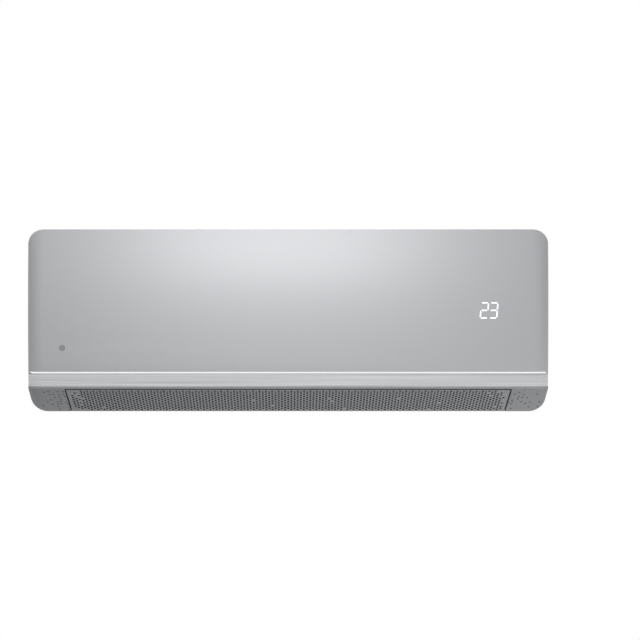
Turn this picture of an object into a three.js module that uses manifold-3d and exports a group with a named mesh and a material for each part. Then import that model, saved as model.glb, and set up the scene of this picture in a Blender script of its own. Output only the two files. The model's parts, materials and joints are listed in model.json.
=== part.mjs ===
// Mini split indoor unit: the wall-hung half of a room air conditioner, piece by piece.
// Millimetres. X runs to the right as seen from the room, Y from the room to the wall, Z up.
// The origin is the middle of the wall plate's back face, so the wall is the plane Y = 0.

import * as THREE from 'three';
import { mergeVertices } from 'three/addons/utils/BufferGeometryUtils.js';
import Module from 'manifold-3d';

const wasm = await Module();
wasm.setup();

// ---------------------------------------------------------------------------
// Driving sizes
// ---------------------------------------------------------------------------

// Gaps and walls used all over the unit
const seatGap = 0.3;              // between pieces that rest on each other
const runningGap = 1.2;           // beside pieces that move
const seam = 1.6;                 // open joint line between outer pieces
const wall = 2.5;                 // moulded plastic wall

// Case, the outer form that the front panel, trim, louvre and cabinet share
const caseWidth = 850;
const caseHeight = 300;
const caseDepth = 205;
const caseBackGap = 1.5;          // case edge to the wall
const topCornerRadius = 28;       // seen from the front
const bottomCornerRadius = 22;
const sideCurveRadius = 28;       // where the front turns back, seen from above
const bowTop = 13;                // top edge behind the foremost line
const bowBottom = 9;              // panel foot behind the foremost line
const foremostHeight = 0.1 * caseHeight;   // height of the foremost line above the middle
const bowSteps = 7;

// Front panel, trim strip and lip, from the top down
const outletHeight = 40;          // louvre zone, seen from the front
const panelFootBevel = 3;
const panelFlange = 3.5;          // short flange along the top edge
const panelTail = 0.3;            // side flange past the end of the front curve
const panelOpenGap = 2.2;         // behind it, so that it clears the cabinet as it swings
const trimHeight = 19.4;
const trimLean = 2.3;             // trim foot behind its top
const trimThickness = 1.5;
const lipHeight = 5;
const panelHeight = caseHeight - seam - trimHeight - lipHeight - outletHeight;
const lipLean = 4;

// Panel hinge
const hingeInset = 6.5;           // axis below the top and behind the panel's top edge
const hingePinRadius = 1.8;
const hingeEarRadius = 3.3;
const hingeEarWidth = 5;
const hingeFromEnd = 33;          // ear to the case end

// Receiver window at the lower left of the panel
const receiverRadius = 4.3;
const receiverProud = 0.4;
const receiverInset = 60;         // to the left-hand case end
const receiverHeight = 108;       // above the case bottom
const receiverX = -caseWidth / 2 + receiverInset;
const receiverZ = -caseHeight / 2 + receiverHeight;

// Louvre
const louvreSlope = THREE.MathUtils.degToRad(35);
const louvreInset = 63;           // louvre end to the case end
const louvreLength = caseWidth - 2 * louvreInset;
const louvreEndGap = 2.2;
const louvreBarrelRadius = 6.5;
const louvreThickness = 2.6;
const louvreBulge = 3.2;          // extra thickness in the middle, on the air side
const louvreNose = 0.8;           // thickness of its front edge
const louvrePinRadius = 2;

// Cross-flow fan and its duct
const coilSetBack = 48;           // middle of the front coil behind the foremost line
const tongueRoom = 20;            // middle of the front coil to the wheel
const fanFrame = 105;             // case depth that the coil, walls and pipe channel take
const fanRadius = 0.45 * (caseDepth - fanFrame);
const fanY = -caseDepth + coilSetBack + tongueRoom + fanRadius;
const fanHeight = 116;            // axis above the case bottom
const fanZ = -caseHeight / 2 + fanHeight;
const electricalZone = 135;       // right-hand end of the coil and fan to the case end
const coilInset = 40;             // left-hand end of the coil to the case end
const fanInset = 65;          // left-hand end of the fan to the case end
const fanLeft = -caseWidth / 2 + fanInset;
const fanRight = caseWidth / 2 - electricalZone;
const bladeCount = 18;
const bladeChord = 10;
const bladeThickness = 1.2;
const discThickness = 2;
const hubRadius = 13;
const hubLength = 5;
const shaftRadius = 4;
const scrollStartGap = 5;         // wheel to the scroll where it starts
const scrollEndGap = 50;          // and where it ends
const scrollStartRadius = fanRadius + scrollStartGap;
const scrollEndRadius = fanRadius + scrollEndGap;
const scrollStartAngle = THREE.MathUtils.degToRad(52);
const scrollEndAngle = THREE.MathUtils.degToRad(-75);
const scrollGrowth = 1.3;
const scrollSteps = 12;
const screwInset = 125;           // cabinet screws to the case ends
const screwSetBack = 7.4;         // and behind the scroll's lowest point
const screwLength = 16;

// Evaporator coil: three fin blocks round the fan
const coilLeft = -caseWidth / 2 + coilInset;
const coilRight = fanRight;
const coilThickness = 24;
const coilPlateThickness = 1.2;
const coilPlateMargin = 3;        // plate past the fins, along the block
const coilPlateSide = 1;          // and across it
const troughLip = 1.2;
const bulbRadius = 3;             // coil sensor on the right-hand end plate
const bulbLength = 18;
const bulbHeight = 36;            // above the coil's foot

const coilFootHeight = 94;        // foot of the front coil above the case bottom
const coilHeadRoom = 38;          // top of the coil to the case top
const lowerShare = 0.536;         // of the front coil's height that is the upright block
const foldLean = THREE.MathUtils.degToRad(28);   // of the upper block, back over the wheel
const foldStep = [5, 10];         // upper block's foot behind and above the lower block's top
const ridgeGap = 23.4;            // between the tops of the upper and the rear block
const ridgeTieDrop = 2;           // end plate web between them, below the top
const ridgeTieHeight = 8;
const rearFootStep = [10.7, 40.6];  // rear block's foot from the gutter lip

// Drain spigot under the left end of the pan
const drainX = coilLeft + 2;
const drainOuter = 7.5;
const drainBore = 5.5;
const drainLength = 36;

// Chassis
const backWallY = -10;            // rear face of the chassis back wall
const cableWindowHalf = 40;
const cableWindowHeight = 20;
const cableWindowDrop = 22;       // below the hooks
const chassisGapZ = 15;           // chassis edge to the case edge
const chassisGapX = 10.5;
const sideSetBack = 45;           // side walls behind the foremost line
const sideRelief = 40;            // and their top and bottom corners behind that
const chassisHalfHeight = caseHeight / 2 - chassisGapZ;
const chassisHalfWidth = caseWidth / 2 - chassisGapX;
const ductEndGap = 3.2;           // louvre end to the duct end
const ductHalfWidth = louvreLength / 2 + ductEndGap;

// Air vanes that swing left and right
const vaneCount = 12;
const vaneEndRoom = 38;           // outer vanes to the louvre end
const vanePitch = (louvreLength - 2 * vaneEndRoom) / (vaneCount - 1);
const vanePlace = 0.4944;         // pivot along the flat duct floor, as a share of it
const vaneChordShare = 0.3178;    // half a vane's depth, as a share of the floor
const vaneHeight = 45;
const vaneThickness = 1.5;
const vanePinRadius = 2;
const vaneFoot = 2;
const pegRadius = 1.5;
const pegFromEdge = 5;
const pegBottom = 20;
const pegTop = 30;
const linkWidth = 6;
const linkThickness = 3;
const linkEnd = 8;

// Filters and top grille
const filterThickness = 2.3;
const filterRib = 2.5;
const filterColumns = 4;
const filterRows = 4;
const filterFootHeight = 100;     // foot above the case bottom
const filterGap = 6;
const filterRear = -32;           // rear edge
const grilleThickness = 5;
const grilleOverlap = 4;
const grilleRows = 9;
const grilleColumns = 6;
const grilleBar = 3;

// Electrical parts at the right-hand end
const motorRadius = fanRadius - 5;
const motorLength = 58;
const motorClampWall = 3.5;
const gearDepth = 14;             // louvre motor
const gearRadius = 12;
const gearNeck = 3.6;
const gearOffset = [14, 15];      // its can from the louvre pivot
const boxLeft = coilRight + 16;
const boxRise = 54;               // box bottom above the fan axis
const boxBottom = fanZ + boxRise;
const boxHeadRoom = 25;           // box top to the case top
const boxHeight = caseHeight / 2 - boxHeadRoom - boxBottom;
const boxSetBack = 39;            // box front behind the foremost line
const boxDepth = 66;
const boxFront = -caseDepth + boxSetBack;
const boxBack = boxFront + boxDepth;
const boardThickness = 1.6;
const transformerDepth = 26;
const capacitorRadius = 9;
const relayDepth = 18;
const terminalHeight = 16;
const boardStandOff = 12;         // control board in front of the box's rear wall

// Refrigerant pipes in the rear channel
const gasPipeRadius = 4.76;
const liquidPipeRadius = 3.18;
const pipeY = -23;
const gasPipeHeight = 47;         // above the case bottom
const pipeSpacing = 20;
const gasPipeZ = -caseHeight / 2 + gasPipeHeight;
const liquidPipeZ = gasPipeZ - pipeSpacing;
const pipeStub = 175;             // flare nuts to the left-hand case end
const pipeLeft = -caseWidth / 2 + pipeStub;
const gasPipeInset = 43;          // where the pipes run down, to the right-hand case end
const liquidPipeInset = 25;
const pipeRise = 11;              // above and below the middle of the rear coil
const pipeCorner = 14;
const sleeveWall = 3.2;
const nutFromEnd = 2;             // flare nut from the pipe's end
const nutLength = 18;
const nutWall = 4;
const sleeveStart = 40;           // foam sleeve, past the flare nuts
const sleeveEnd = 95;             // and before the right-hand case end

// Wall plate
const plateInset = 55;            // plate edge to the case end
const plateEdgeZ = 42;
const plateWidth = caseWidth - 2 * plateInset;
const plateHeight = caseHeight - 2 * plateEdgeZ;
const plateThickness = 1.6;
const plateFlange = 7;
const plateRows = 2;
const plateColumns = 8;
const plateSlotWidth = 46;
const plateSlotHeight = 26;
const hookWidth = 30;
const hookRise = 7;

// ---------------------------------------------------------------------------
// Materials
// ---------------------------------------------------------------------------

function finish(color, roughness, metalness) {
  return new THREE.MeshStandardMaterial({ color, roughness, metalness });
}

const silverPaint = finish(0xc9cbcd, 0.34, 0.55);
const brushedTrim = finish(0xcfd1d3, 0.3, 0.85);
const greyPlastic = finish(0x7d8083, 0.5, 0.05);
const darkPlastic = finish(0x3c3f42, 0.55, 0.0);
const whitePlastic = finish(0xdcdcd8, 0.5, 0.0);
const galvanised = finish(0xa9adb0, 0.45, 0.8);
const finAluminium = finish(0xb9c0c4, 0.4, 0.85);
const copper = finish(0xb87050, 0.35, 0.9);
const brass = finish(0xb99a55, 0.35, 0.9);
const rubber = finish(0x222222, 0.85, 0.0);
const foam = finish(0xd9d9d2, 0.9, 0.0);
const filterBlue = finish(0x4b5f70, 0.6, 0.0);
const boardGreen = finish(0x1f5a38, 0.5, 0.1);
const clearLens = finish(0x2a2c2e, 0.15, 0.0);

// ---------------------------------------------------------------------------
// Shapes: solids are joined and cut, then turned back into geometry
// ---------------------------------------------------------------------------

// Corners snap to a grid of one micron, so that faces meant to lie in one plane do
function solidOf(geometry) {
  const bare = geometry.clone();
  bare.deleteAttribute('normal');
  bare.deleteAttribute('uv');
  const corners = bare.attributes.position.array;
  corners.forEach((value, i) => {
    corners[i] = Math.round(value * 1000) / 1000;
  });
  const merged = mergeVertices(bare, 1e-4);
  return new wasm.Manifold(new wasm.Mesh({
    numProp: 3,
    vertProperties: new Float32Array(merged.attributes.position.array),
    triVerts: new Uint32Array(merged.index.array),
  }));
}

function geometryOf(solid) {
  const mesh = solid.simplify(0.005).getMesh();
  const geometry = new THREE.BufferGeometry();
  geometry.setAttribute('position', new THREE.BufferAttribute(mesh.vertProperties, 3));
  geometry.setIndex(new THREE.BufferAttribute(mesh.triVerts, 1));
  return geometry;
}

function join(...solids) {
  return solids.flat().reduce((whole, solid) => whole.add(solid));
}

function cut(solid, ...tools) {
  return tools.flat().reduce((rest, tool) => rest.subtract(tool), solid);
}

function box(x0, x1, y0, y1, z0, z1) {
  const geometry = new THREE.BoxGeometry(x1 - x0, y1 - y0, z1 - z0);
  geometry.translate((x0 + x1) / 2, (y0 + y1) / 2, (z0 + z1) / 2);
  return solidOf(geometry);
}

function shapeOf(points, holes = []) {
  const shape = new THREE.Shape(points);
  shape.holes = holes.map((hole) => new THREE.Path(hole));
  return shape;
}

// An outline in Y and Z, pulled along X
function prism(points, x0, x1, holes = []) {
  const depth = x1 - x0;
  const geometry = new THREE.ExtrudeGeometry(shapeOf(points, holes), { depth, bevelEnabled: false });
  geometry.applyMatrix4(new THREE.Matrix4().set(0, 0, 1, x0, 1, 0, 0, 0, 0, 1, 0, 0, 0, 0, 0, 1));
  return solidOf(geometry);
}

// An outline in X and Z, pulled along Y
function slab(points, y0, y1, holes = []) {
  const depth = y1 - y0;
  const geometry = new THREE.ExtrudeGeometry(shapeOf(points, holes), { depth, bevelEnabled: false });
  geometry.rotateX(Math.PI / 2);
  geometry.translate(0, y1, 0);
  return solidOf(geometry);
}

// A rod along X, Y or Z
function rod(axis, radius, from, to, centre, segments = 16) {
  const geometry = new THREE.CylinderGeometry(radius, radius, to - from, segments);
  geometry.translate(0, (from + to) / 2, 0);
  if (axis === 'x') {
    geometry.rotateZ(-Math.PI / 2);
    geometry.translate(0, centre[0], centre[1]);
  } else if (axis === 'y') {
    geometry.translate(centre[0], 0, centre[1]);
  } else {
    geometry.rotateX(Math.PI / 2);
    geometry.translate(centre[0], centre[1], 0);
  }
  return solidOf(geometry);
}

function ring(axis, outer, inner, from, to, centre, segments = 24) {
  const past = 1;
  const bore = rod(axis, inner, from - past, to + past, centre, segments);
  return cut(rod(axis, outer, from, to, centre, segments), bore);
}

function rectangle(u0, u1, v0, v1) {
  return [[u0, v0], [u1, v0], [u1, v1], [u0, v1]].map(([u, v]) => new THREE.Vector2(u, v));
}

function arcPoints(u, v, radius, from, to, steps) {
  return Array.from({ length: steps + 1 }, (_, i) => {
    const angle = from + (to - from) * i / steps;
    return new THREE.Vector2(u + radius * Math.cos(angle), v + radius * Math.sin(angle));
  });
}

// The same outline with every edge moved inwards; the outline runs anticlockwise
function inset(points, distance) {
  const count = points.length;
  return points.map((point, i) => {
    const before = points[(i + count - 1) % count];
    const after = points[(i + 1) % count];
    const a = new THREE.Vector2().subVectors(point, before).normalize();
    const b = new THREE.Vector2().subVectors(after, point).normalize();
    const normalA = new THREE.Vector2(-a.y, a.x);
    const normalB = new THREE.Vector2(-b.y, b.x);
    const scale = distance / (1 + normalA.dot(normalB));
    return point.clone().addScaledVector(normalA.add(normalB), scale);
  });
}

// A closed skin through outlines of equal length, given as rings from low X to high X
function loft(rings) {
  const count = rings[0].points.length;
  const corners = rings.flatMap(({ x, points }) => points.flatMap((p) => [x, p.x, p.y]));
  const faces = [];
  for (let i = 0; i + 1 < rings.length; i += 1) {
    for (let j = 0; j < count; j += 1) {
      const a = i * count + j;
      const b = i * count + (j + 1) % count;
      faces.push(a, b, b + count, a, b + count, a + count);
    }
  }
  const last = (rings.length - 1) * count;
  for (const [a, b, c] of THREE.ShapeUtils.triangulateShape(rings[0].points, [])) {
    faces.push(a, c, b);
  }
  for (const [a, b, c] of THREE.ShapeUtils.triangulateShape(rings.at(-1).points, [])) {
    faces.push(last + a, last + b, last + c);
  }
  const geometry = new THREE.BufferGeometry();
  geometry.setAttribute('position', new THREE.Float32BufferAttribute(corners, 3));
  geometry.setIndex(faces);
  return solidOf(geometry);
}

// ---------------------------------------------------------------------------
// The case form
// ---------------------------------------------------------------------------

const top = caseHeight / 2;
const bottom = -caseHeight / 2;
const halfWidth = caseWidth / 2;
const far = caseWidth;            // past every edge, for cuts
const panelFoot = top - panelHeight;
const trimTop = panelFoot - seam;
const trimFoot = trimTop - trimHeight;
const lipFoot = trimFoot - lipHeight;

function frontY(z) {
  const above = z > foremostHeight;
  const bow = above ? bowTop : bowBottom;
  const reach = above ? top - foremostHeight : foremostHeight - panelFoot;
  return -caseDepth + bow * ((z - foremostHeight) / reach) ** 2;
}

const panelFootY = frontY(panelFoot + panelFootBevel) + panelFootBevel * 0.7;
const trimFootY = panelFootY + trimLean;
const lipY = trimFootY + lipLean;
const slopeRun = (lipFoot - bottom) / Math.tan(louvreSlope);

// Side profile of the case in Y and Z, anticlockwise: back edge, front from top to foot, bottom
function sideProfile() {
  const upper = Array.from({ length: bowSteps + 1 }, (_, i) => (
    top + (foremostHeight - top) * i / bowSteps));
  const lower = Array.from({ length: bowSteps }, (_, i) => (
    foremostHeight + (panelFoot + panelFootBevel - foremostHeight) * (i + 1) / bowSteps));
  const bow = [...upper, ...lower].map((z) => [frontY(z), z]);
  const points = [
    [-caseBackGap, top],
    ...bow,
    [panelFootY, panelFoot],
    [trimFootY, trimFoot],
    [lipY, lipFoot],
    [lipY + slopeRun, bottom],
    [-caseBackGap, bottom],
  ];
  return points.map(([y, z]) => new THREE.Vector2(y, z));
}

// Front outline of the case in X and Z, anticlockwise
function frontOutline() {
  const quarter = Math.PI / 2;
  const steps = 6;
  const rTop = topCornerRadius;
  const rBottom = bottomCornerRadius;
  return [
    ...arcPoints(halfWidth - rTop, top - rTop, rTop, 0, quarter, steps),
    ...arcPoints(-halfWidth + rTop, top - rTop, rTop, quarter, 2 * quarter, steps),
    ...arcPoints(-halfWidth + rBottom, bottom + rBottom, rBottom, 2 * quarter, 3 * quarter, steps),
    ...arcPoints(halfWidth - rBottom, bottom + rBottom, rBottom, 3 * quarter, 4 * quarter, steps),
  ];
}

// The case form shrunk by a distance: the side profile swept along X, its front curving back
// near each end to one upright line where the case side starts
function caseForm(distance) {
  const profile = inset(sideProfile(), distance);
  const sideY = -caseDepth + sideCurveRadius;
  const start = halfWidth - sideCurveRadius;
  const reach = sideCurveRadius - distance;
  const steps = 6;
  const curve = Array.from({ length: steps + 1 }, (_, i) => {
    const angle = Math.PI / 2 * i / steps;
    return { x: start + reach * Math.sin(angle), share: 1 - Math.cos(angle) };
  });
  const stations = [...curve.slice().reverse().map(({ x, share }) => ({ x: -x, share })), ...curve];
  const rings = stations.map(({ x, share }) => ({
    x,
    points: profile.map((p) => new THREE.Vector2(p.x + share * Math.max(0, sideY - p.x), p.y)),
  }));
  const outline = slab(inset(frontOutline(), distance), -far, far);
  return loft(rings).intersect(outline);
}

const outerForm = caseForm(0);
const innerForm = caseForm(wall);

// ---------------------------------------------------------------------------
// The scene graph
// ---------------------------------------------------------------------------

const unit = new THREE.Group();

function add(name, solid, material, parent = unit) {
  const mesh = new THREE.Mesh(geometryOf(solid), material);
  mesh.name = name;
  parent.add(mesh);
  return mesh;
}

function groupAt(x, y, z, turn = 0) {
  const group = new THREE.Group();
  group.position.set(x, y, z);
  group.rotation.x = turn;
  unit.add(group);
  return group;
}

// ---------------------------------------------------------------------------
// Front panel: a curved skin that hangs on two pins near its top edge
// ---------------------------------------------------------------------------

const hingeY = frontY(top) + hingeInset;
const hingeZ = top - hingeInset;
const panelBack = -caseDepth + sideCurveRadius + panelTail;
const cabinetFront = panelBack + panelOpenGap;
const flangeBack = frontY(top) + panelFlange;
const ledgeFront = hingeY + hingeInset - 1;
const hingeX = halfWidth - hingeFromEnd;
const straightHalf = halfWidth - sideCurveRadius;

function mirrored(make) {
  return [make(-1), make(1)];
}

function span(side, a, b) {
  return side < 0 ? [-b, -a] : [a, b];
}

{
  const lug = mirrored((side) => {
    const [x0, x1] = span(side, hingeX + hingeEarWidth / 2 + seatGap, hingeX + hingeEarWidth + 3);
    const reach = box(x0, x1, frontY(hingeZ) + 1, hingeY, hingeZ - 2.4, hingeZ + 2.4);
    const eye = rod('x', hingeEarRadius - 0.3, x0, x1, [hingeY, hingeZ]);
    const [p0, p1] = span(side, hingeX - hingeEarWidth / 2, hingeX + hingeEarWidth);
    return join(reach, eye, rod('x', hingePinRadius, p0, p1, [hingeY, hingeZ], 12));
  });
  const skin = cut(outerForm, innerForm);
  const keep = box(-far, far, -far, panelBack, panelFoot, far);
  const behindTop = box(-straightHalf, straightHalf, flangeBack, 0, top - 2 * wall, far);
  const panel = join(cut(skin.intersect(keep), behindTop), lug);
  const receiverHole = rod('y', receiverRadius + seatGap, -far, 0, [receiverX, receiverZ]);
  add('front_panel', cut(panel, receiverHole), silverPaint);
}

const receiverFace = frontY(receiverZ);
const receiverLens = rod('y', receiverRadius, receiverFace - receiverProud, receiverFace + wall,
  [receiverX, receiverZ]);
add('receiver_window', receiverLens, clearLens);

// ---------------------------------------------------------------------------
// Trim strip: a thin brushed band round the front below the panel
// ---------------------------------------------------------------------------

{
  const band = box(-far, far, -far, cabinetFront, trimFoot, trimTop);
  add('trim_strip', cut(outerForm, caseForm(trimThickness)).intersect(band), brushedTrim);
}

// ---------------------------------------------------------------------------
// Louvre: one long flap that turns in the duct ends
// ---------------------------------------------------------------------------

const pivotZ = bottom + louvreBarrelRadius;
const pivotY = lipY
  + (louvreBarrelRadius - (pivotZ - lipFoot) * Math.cos(louvreSlope)) / Math.sin(louvreSlope);
const louvreReach = (pivotY - lipY) * Math.cos(louvreSlope)
  - (pivotZ - lipFoot) * Math.sin(louvreSlope) - seam;
const louvreHalf = louvreLength / 2;
const outletRear = pivotY + louvreBarrelRadius + runningGap;

{
  const outside = -louvreBarrelRadius;
  const middle = -louvreReach / 2;
  const bulge = [0, 0.25, 0.5, 0.75, 1].map((t) => [
    -louvreReach + louvreThickness + (louvreReach - louvreThickness - 1) * t,
    outside + louvreThickness + louvreBulge * 4 * t * (1 - t),
  ]);
  const outline = [
    [-louvreReach, outside],
    [-1, outside],
    ...bulge.reverse(),
    [-louvreReach, outside + louvreNose],
  ].map(([y, z]) => new THREE.Vector2(y, z));
  const pins = rod('x', louvrePinRadius, -ductHalfWidth - 6, ductHalfWidth + 6, [0, 0], 12);
  const barrel = rod('x', louvreBarrelRadius, -louvreHalf, louvreHalf, [0, 0], 24);
  const ribs = [-2, -1, 0, 1, 2].map((i) => {
    const x = i * louvreLength / 5;
    return prism([
      new THREE.Vector2(middle, outside + 1),
      new THREE.Vector2(0, outside + 1),
      new THREE.Vector2(0, louvreBarrelRadius - 1),
    ], x - 1, x + 1);
  });
  const flap = join(prism(outline, -louvreHalf, louvreHalf), barrel, pins, ribs);
  add('louvre', flap, greyPlastic, groupAt(0, pivotY, pivotZ, -louvreSlope));
}

// ---------------------------------------------------------------------------
// Filters: an L-shaped frame of ribs that lies on the grille and hangs behind the panel
// ---------------------------------------------------------------------------

const grilleTop = top - wall - seatGap;
const filterFront = ledgeFront + seatGap;
const filterLeft = coilLeft;
const filterRight = coilRight;
const filterWidth = (filterRight - filterLeft - filterGap) / 2;
const filterTop = grilleTop + seatGap + filterThickness;
const filterFoot = bottom + filterFootHeight;

function filterSolid(x0) {
  const low = filterTop - filterThickness;
  const back = filterFront + filterThickness;
  const frame = prism([
    [filterFront, filterFoot],
    [back, filterFoot],
    [back, low],
    [filterRear, low],
    [filterRear, filterTop],
    [filterFront, filterTop],
  ].map(([y, z]) => new THREE.Vector2(y, z)), x0, x0 + filterWidth);
  const width = (filterWidth - filterRib) / filterColumns;
  const height = (low - filterRib - filterFoot) / filterRows;
  const depth = (filterRear - filterRib - back) / filterRows;
  const meshes = [];
  for (let column = 0; column < filterColumns; column += 1) {
    const a = x0 + filterRib + column * width;
    const b = a + width - filterRib;
    for (let row = 0; row < filterRows; row += 1) {
      const z = filterFoot + filterRib + row * height;
      const y = back + row * depth;
      meshes.push(box(a, b, filterFront - 1, back + 1, z, z + height - filterRib));
      meshes.push(box(a, b, y, y + depth - filterRib, low - 1, filterTop + 1));
    }
  }
  return cut(frame, meshes);
}

add('filter_left', filterSolid(filterLeft), filterBlue);
add('filter_right', filterSolid(filterLeft + filterWidth + filterGap), filterBlue);

// ---------------------------------------------------------------------------
// Top grille: seated under the edge of the cabinet's intake opening
// ---------------------------------------------------------------------------

const intakeLeft = filterLeft - 1;
const intakeRight = filterRight + 1;
const intakeRear = filterRear + 1;
const frontPlateBack = cabinetFront + wall;

{
  const x0 = intakeLeft - grilleOverlap;
  const x1 = intakeRight + grilleOverlap;
  const y0 = frontPlateBack + seatGap;
  const y1 = intakeRear + grilleOverlap;
  const low = grilleTop - grilleThickness;
  const width = (x1 - x0 - grilleBar) / grilleColumns;
  const depth = (y1 - y0 - grilleBar) / grilleRows;
  const windows = [];
  for (let column = 0; column < grilleColumns; column += 1) {
    for (let row = 0; row < grilleRows; row += 1) {
      const x = x0 + grilleBar + column * width;
      const y = y0 + grilleBar + row * depth;
      windows.push(box(x, x + width - grilleBar, y, y + depth - grilleBar, low - 1, grilleTop + 1));
    }
  }
  add('top_grille', cut(box(x0, x1, y0, y1, low, grilleTop), windows), darkPlastic);
}

// ---------------------------------------------------------------------------
// Cabinet: the moulded outer frame behind the panel, with the intake and outlet openings
// ---------------------------------------------------------------------------

const screwX = halfWidth - screwInset;
const screwY = fanY + scrollEndRadius * Math.cos(scrollEndAngle) + screwSetBack;
const screwRadius = 1.8;
const screwHeadRadius = 4;
const buttonInset = 80;
const buttonHeight = 88;
const buttonX = halfWidth - buttonInset;
const buttonZ = bottom + buttonHeight;
const buttonRadius = 4;
const displayInset = 102;
const displayX = halfWidth - displayInset;
const displayDrop = 14;           // below the foremost line
const displayZ = foremostHeight - displayDrop;
const sensorInset = 46;
const sensorDrop = 24;            // below the electrical box
const sensorX = halfWidth - sensorInset;
const sensorZ = boxBottom - sensorDrop;
const digitsHalf = [13, 10];      // lit figure block, half its width and height
const displayBoardHalf = 26;

{
  const shell = cut(outerForm, innerForm);
  const behindPanel = box(-far, far, cabinetFront, far, -far, far);
  const belowPanel = box(-far, far, -far, far, -far, trimTop);
  const plateFoot = trimTop - wall;
  const frontPlate = outerForm.intersect(box(-far, far, cabinetFront, frontPlateBack, plateFoot, top - 1));
  const shelf = outerForm.intersect(box(-far, far, -far, frontPlateBack, plateFoot, trimTop));
  const ledgeHalf = hingeX + hingeEarWidth / 2;
  const ledge = box(-ledgeHalf, ledgeHalf, ledgeFront, frontPlateBack, top - wall, top);
  const ears = mirrored((side) => {
    const [x0, x1] = span(side, hingeX - hingeEarWidth / 2, hingeX + hingeEarWidth / 2);
    const low = hingeZ - hingeEarRadius;
    const arm = box(x0, x1, hingeY, frontPlateBack, low, low + 4);
    const eye = rod('x', hingeEarRadius, x0, x1, [hingeY, hingeZ]);
    return join(arm, eye);
  });
  const eyeHoles = mirrored((side) => {
    const [x0, x1] = span(side, hingeX - hingeEarWidth, hingeX + hingeEarWidth);
    return rod('x', hingePinRadius + seatGap, x0, x1, [hingeY, hingeZ], 12);
  });
  const guides = [0, 1, 2].map((i) => {
    const x = filterLeft - filterGap / 2 + i * (filterWidth + filterGap);
    const half = filterGap / 2 - seatGap;
    return box(x - half, x + half, filterFront, frontPlateBack, filterFoot, grilleTop - seatGap);
  });
  const trimBed = box(-far, far, -far, cabinetFront + seatGap, trimFoot - seatGap, trimTop + seam);
  const trimRoom = cut(trimBed, caseForm(trimThickness + seatGap));

  const intake = box(intakeLeft, intakeRight, ledgeFront - 1, intakeRear, grilleTop, far);
  const hidden = grilleOverlap + seatGap;
  const grilleSeat = box(
    intakeLeft - hidden, intakeRight + hidden, frontPlateBack, intakeRear + hidden,
    grilleTop - grilleThickness - seatGap, grilleTop + seatGap,
  );
  const windowFrame = 12;
  const windows = [0, 1].map((i) => {
    const x0 = filterLeft + windowFrame + i * (filterWidth + filterGap);
    const x1 = x0 + filterWidth - 2 * windowFrame;
    return box(x0, x1, cabinetFront - 1, frontPlateBack + 1, filterFoot + windowFrame, top - 2 * windowFrame);
  });
  const outlet = prism([
    [-far, lipFoot],
    [-far, -far],
    [outletRear, -far],
    [outletRear, pivotZ],
    [lipY + 4 * wall + 4, lipFoot],
  ].map(([y, z]) => new THREE.Vector2(y, z)), -louvreHalf - louvreEndGap, louvreHalf + louvreEndGap);
  const screwHoles = mirrored((side) => {
    const at = [side * screwX, screwY];
    return join(
      rod('z', screwRadius + seatGap, bottom - 1, bottom + 2 * wall, at, 12),
      rod('z', screwHeadRadius + seatGap, bottom - 1, bottom + 1.2, at, 16),
    );
  });
  const buttonHole = rod('y', buttonRadius + seatGap, -far, 0, [buttonX, buttonZ]);
  const displayHole = box(displayX - digitsHalf[0] - 2, displayX + digitsHalf[0] + 2, cabinetFront - 1,
    frontPlateBack + 1, displayZ - digitsHalf[1] - 2, displayZ + digitsHalf[1] + 2);

  const body = join(
    shell.intersect(join(behindPanel, belowPanel)), frontPlate, shelf, ledge, ears, guides,
  );
  const backOpening = slab(inset(frontOutline(), wall), -far, far)
    .intersect(box(-far, far, -2 * wall, far, -far, far));
  const cabinet = cut(body, backOpening, trimRoom, intake, grilleSeat, windows, outlet, eyeHoles, screwHoles,
    buttonHole, displayHole);
  add('cabinet', cabinet, greyPlastic);
}

// ---------------------------------------------------------------------------
// Wall plate: pressed sheet with two hooks that carry the chassis
// ---------------------------------------------------------------------------

const hookZ = plateHeight / 2 - 4;

function hookPlaces() {
  return [-plateWidth / 3, plateWidth / 3];
}

{
  const x = plateWidth / 2;
  const z = plateHeight / 2;
  const sheet = box(-x, x, -plateThickness, 0, -z, z);
  const flanges = [
    box(-x, x, -plateFlange, 0, z - plateThickness, z),
    box(-x, x, -plateFlange, 0, -z, -z + plateThickness),
    box(-x, -x + plateThickness, -plateFlange, 0, -z, z),
    box(x - plateThickness, x, -plateFlange, 0, -z, z),
  ];
  const reach = backWallY - wall - 1 - plateThickness;
  const hooks = hookPlaces().map((at) => join(
    box(at - hookWidth / 2, at + hookWidth / 2, reach, 0, hookZ - plateThickness - seatGap, hookZ - seatGap),
    box(at - hookWidth / 2, at + hookWidth / 2, reach - plateThickness, reach,
      hookZ - plateThickness - seatGap, hookZ + hookRise),
  ));
  const slots = [];
  const pitch = (plateWidth - 2 * plateSlotHeight) / plateColumns;
  for (let column = 0; column < plateColumns; column += 1) {
    for (let row = 0; row < plateRows; row += 1) {
      const centre = (column + 0.5 - plateColumns / 2) * pitch;
      const height = (row + 0.5 - plateRows / 2) * plateHeight / plateRows;
      slots.push(box(centre - plateSlotWidth / 2, centre + plateSlotWidth / 2, -2 * plateThickness,
        plateThickness, height - plateSlotHeight / 2, height + plateSlotHeight / 2));
    }
  }
  const screwHoles = Array.from({ length: plateColumns - 1 }, (_, i) => (i + 1 - plateColumns / 2) * pitch)
    .filter((at) => Math.abs(at) > 1)
    .map((at) => rod('y', 2.5, -2 * plateThickness, plateThickness, [at, plateHeight / 4], 12));
  add('wall_plate', cut(join(sheet, flanges, hooks), slots, screwHoles), galvanised);
}

// ---------------------------------------------------------------------------
// Chassis: back wall, rear drain gutter, fan scroll, duct ends and motor saddle in one moulding
// ---------------------------------------------------------------------------

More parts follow.
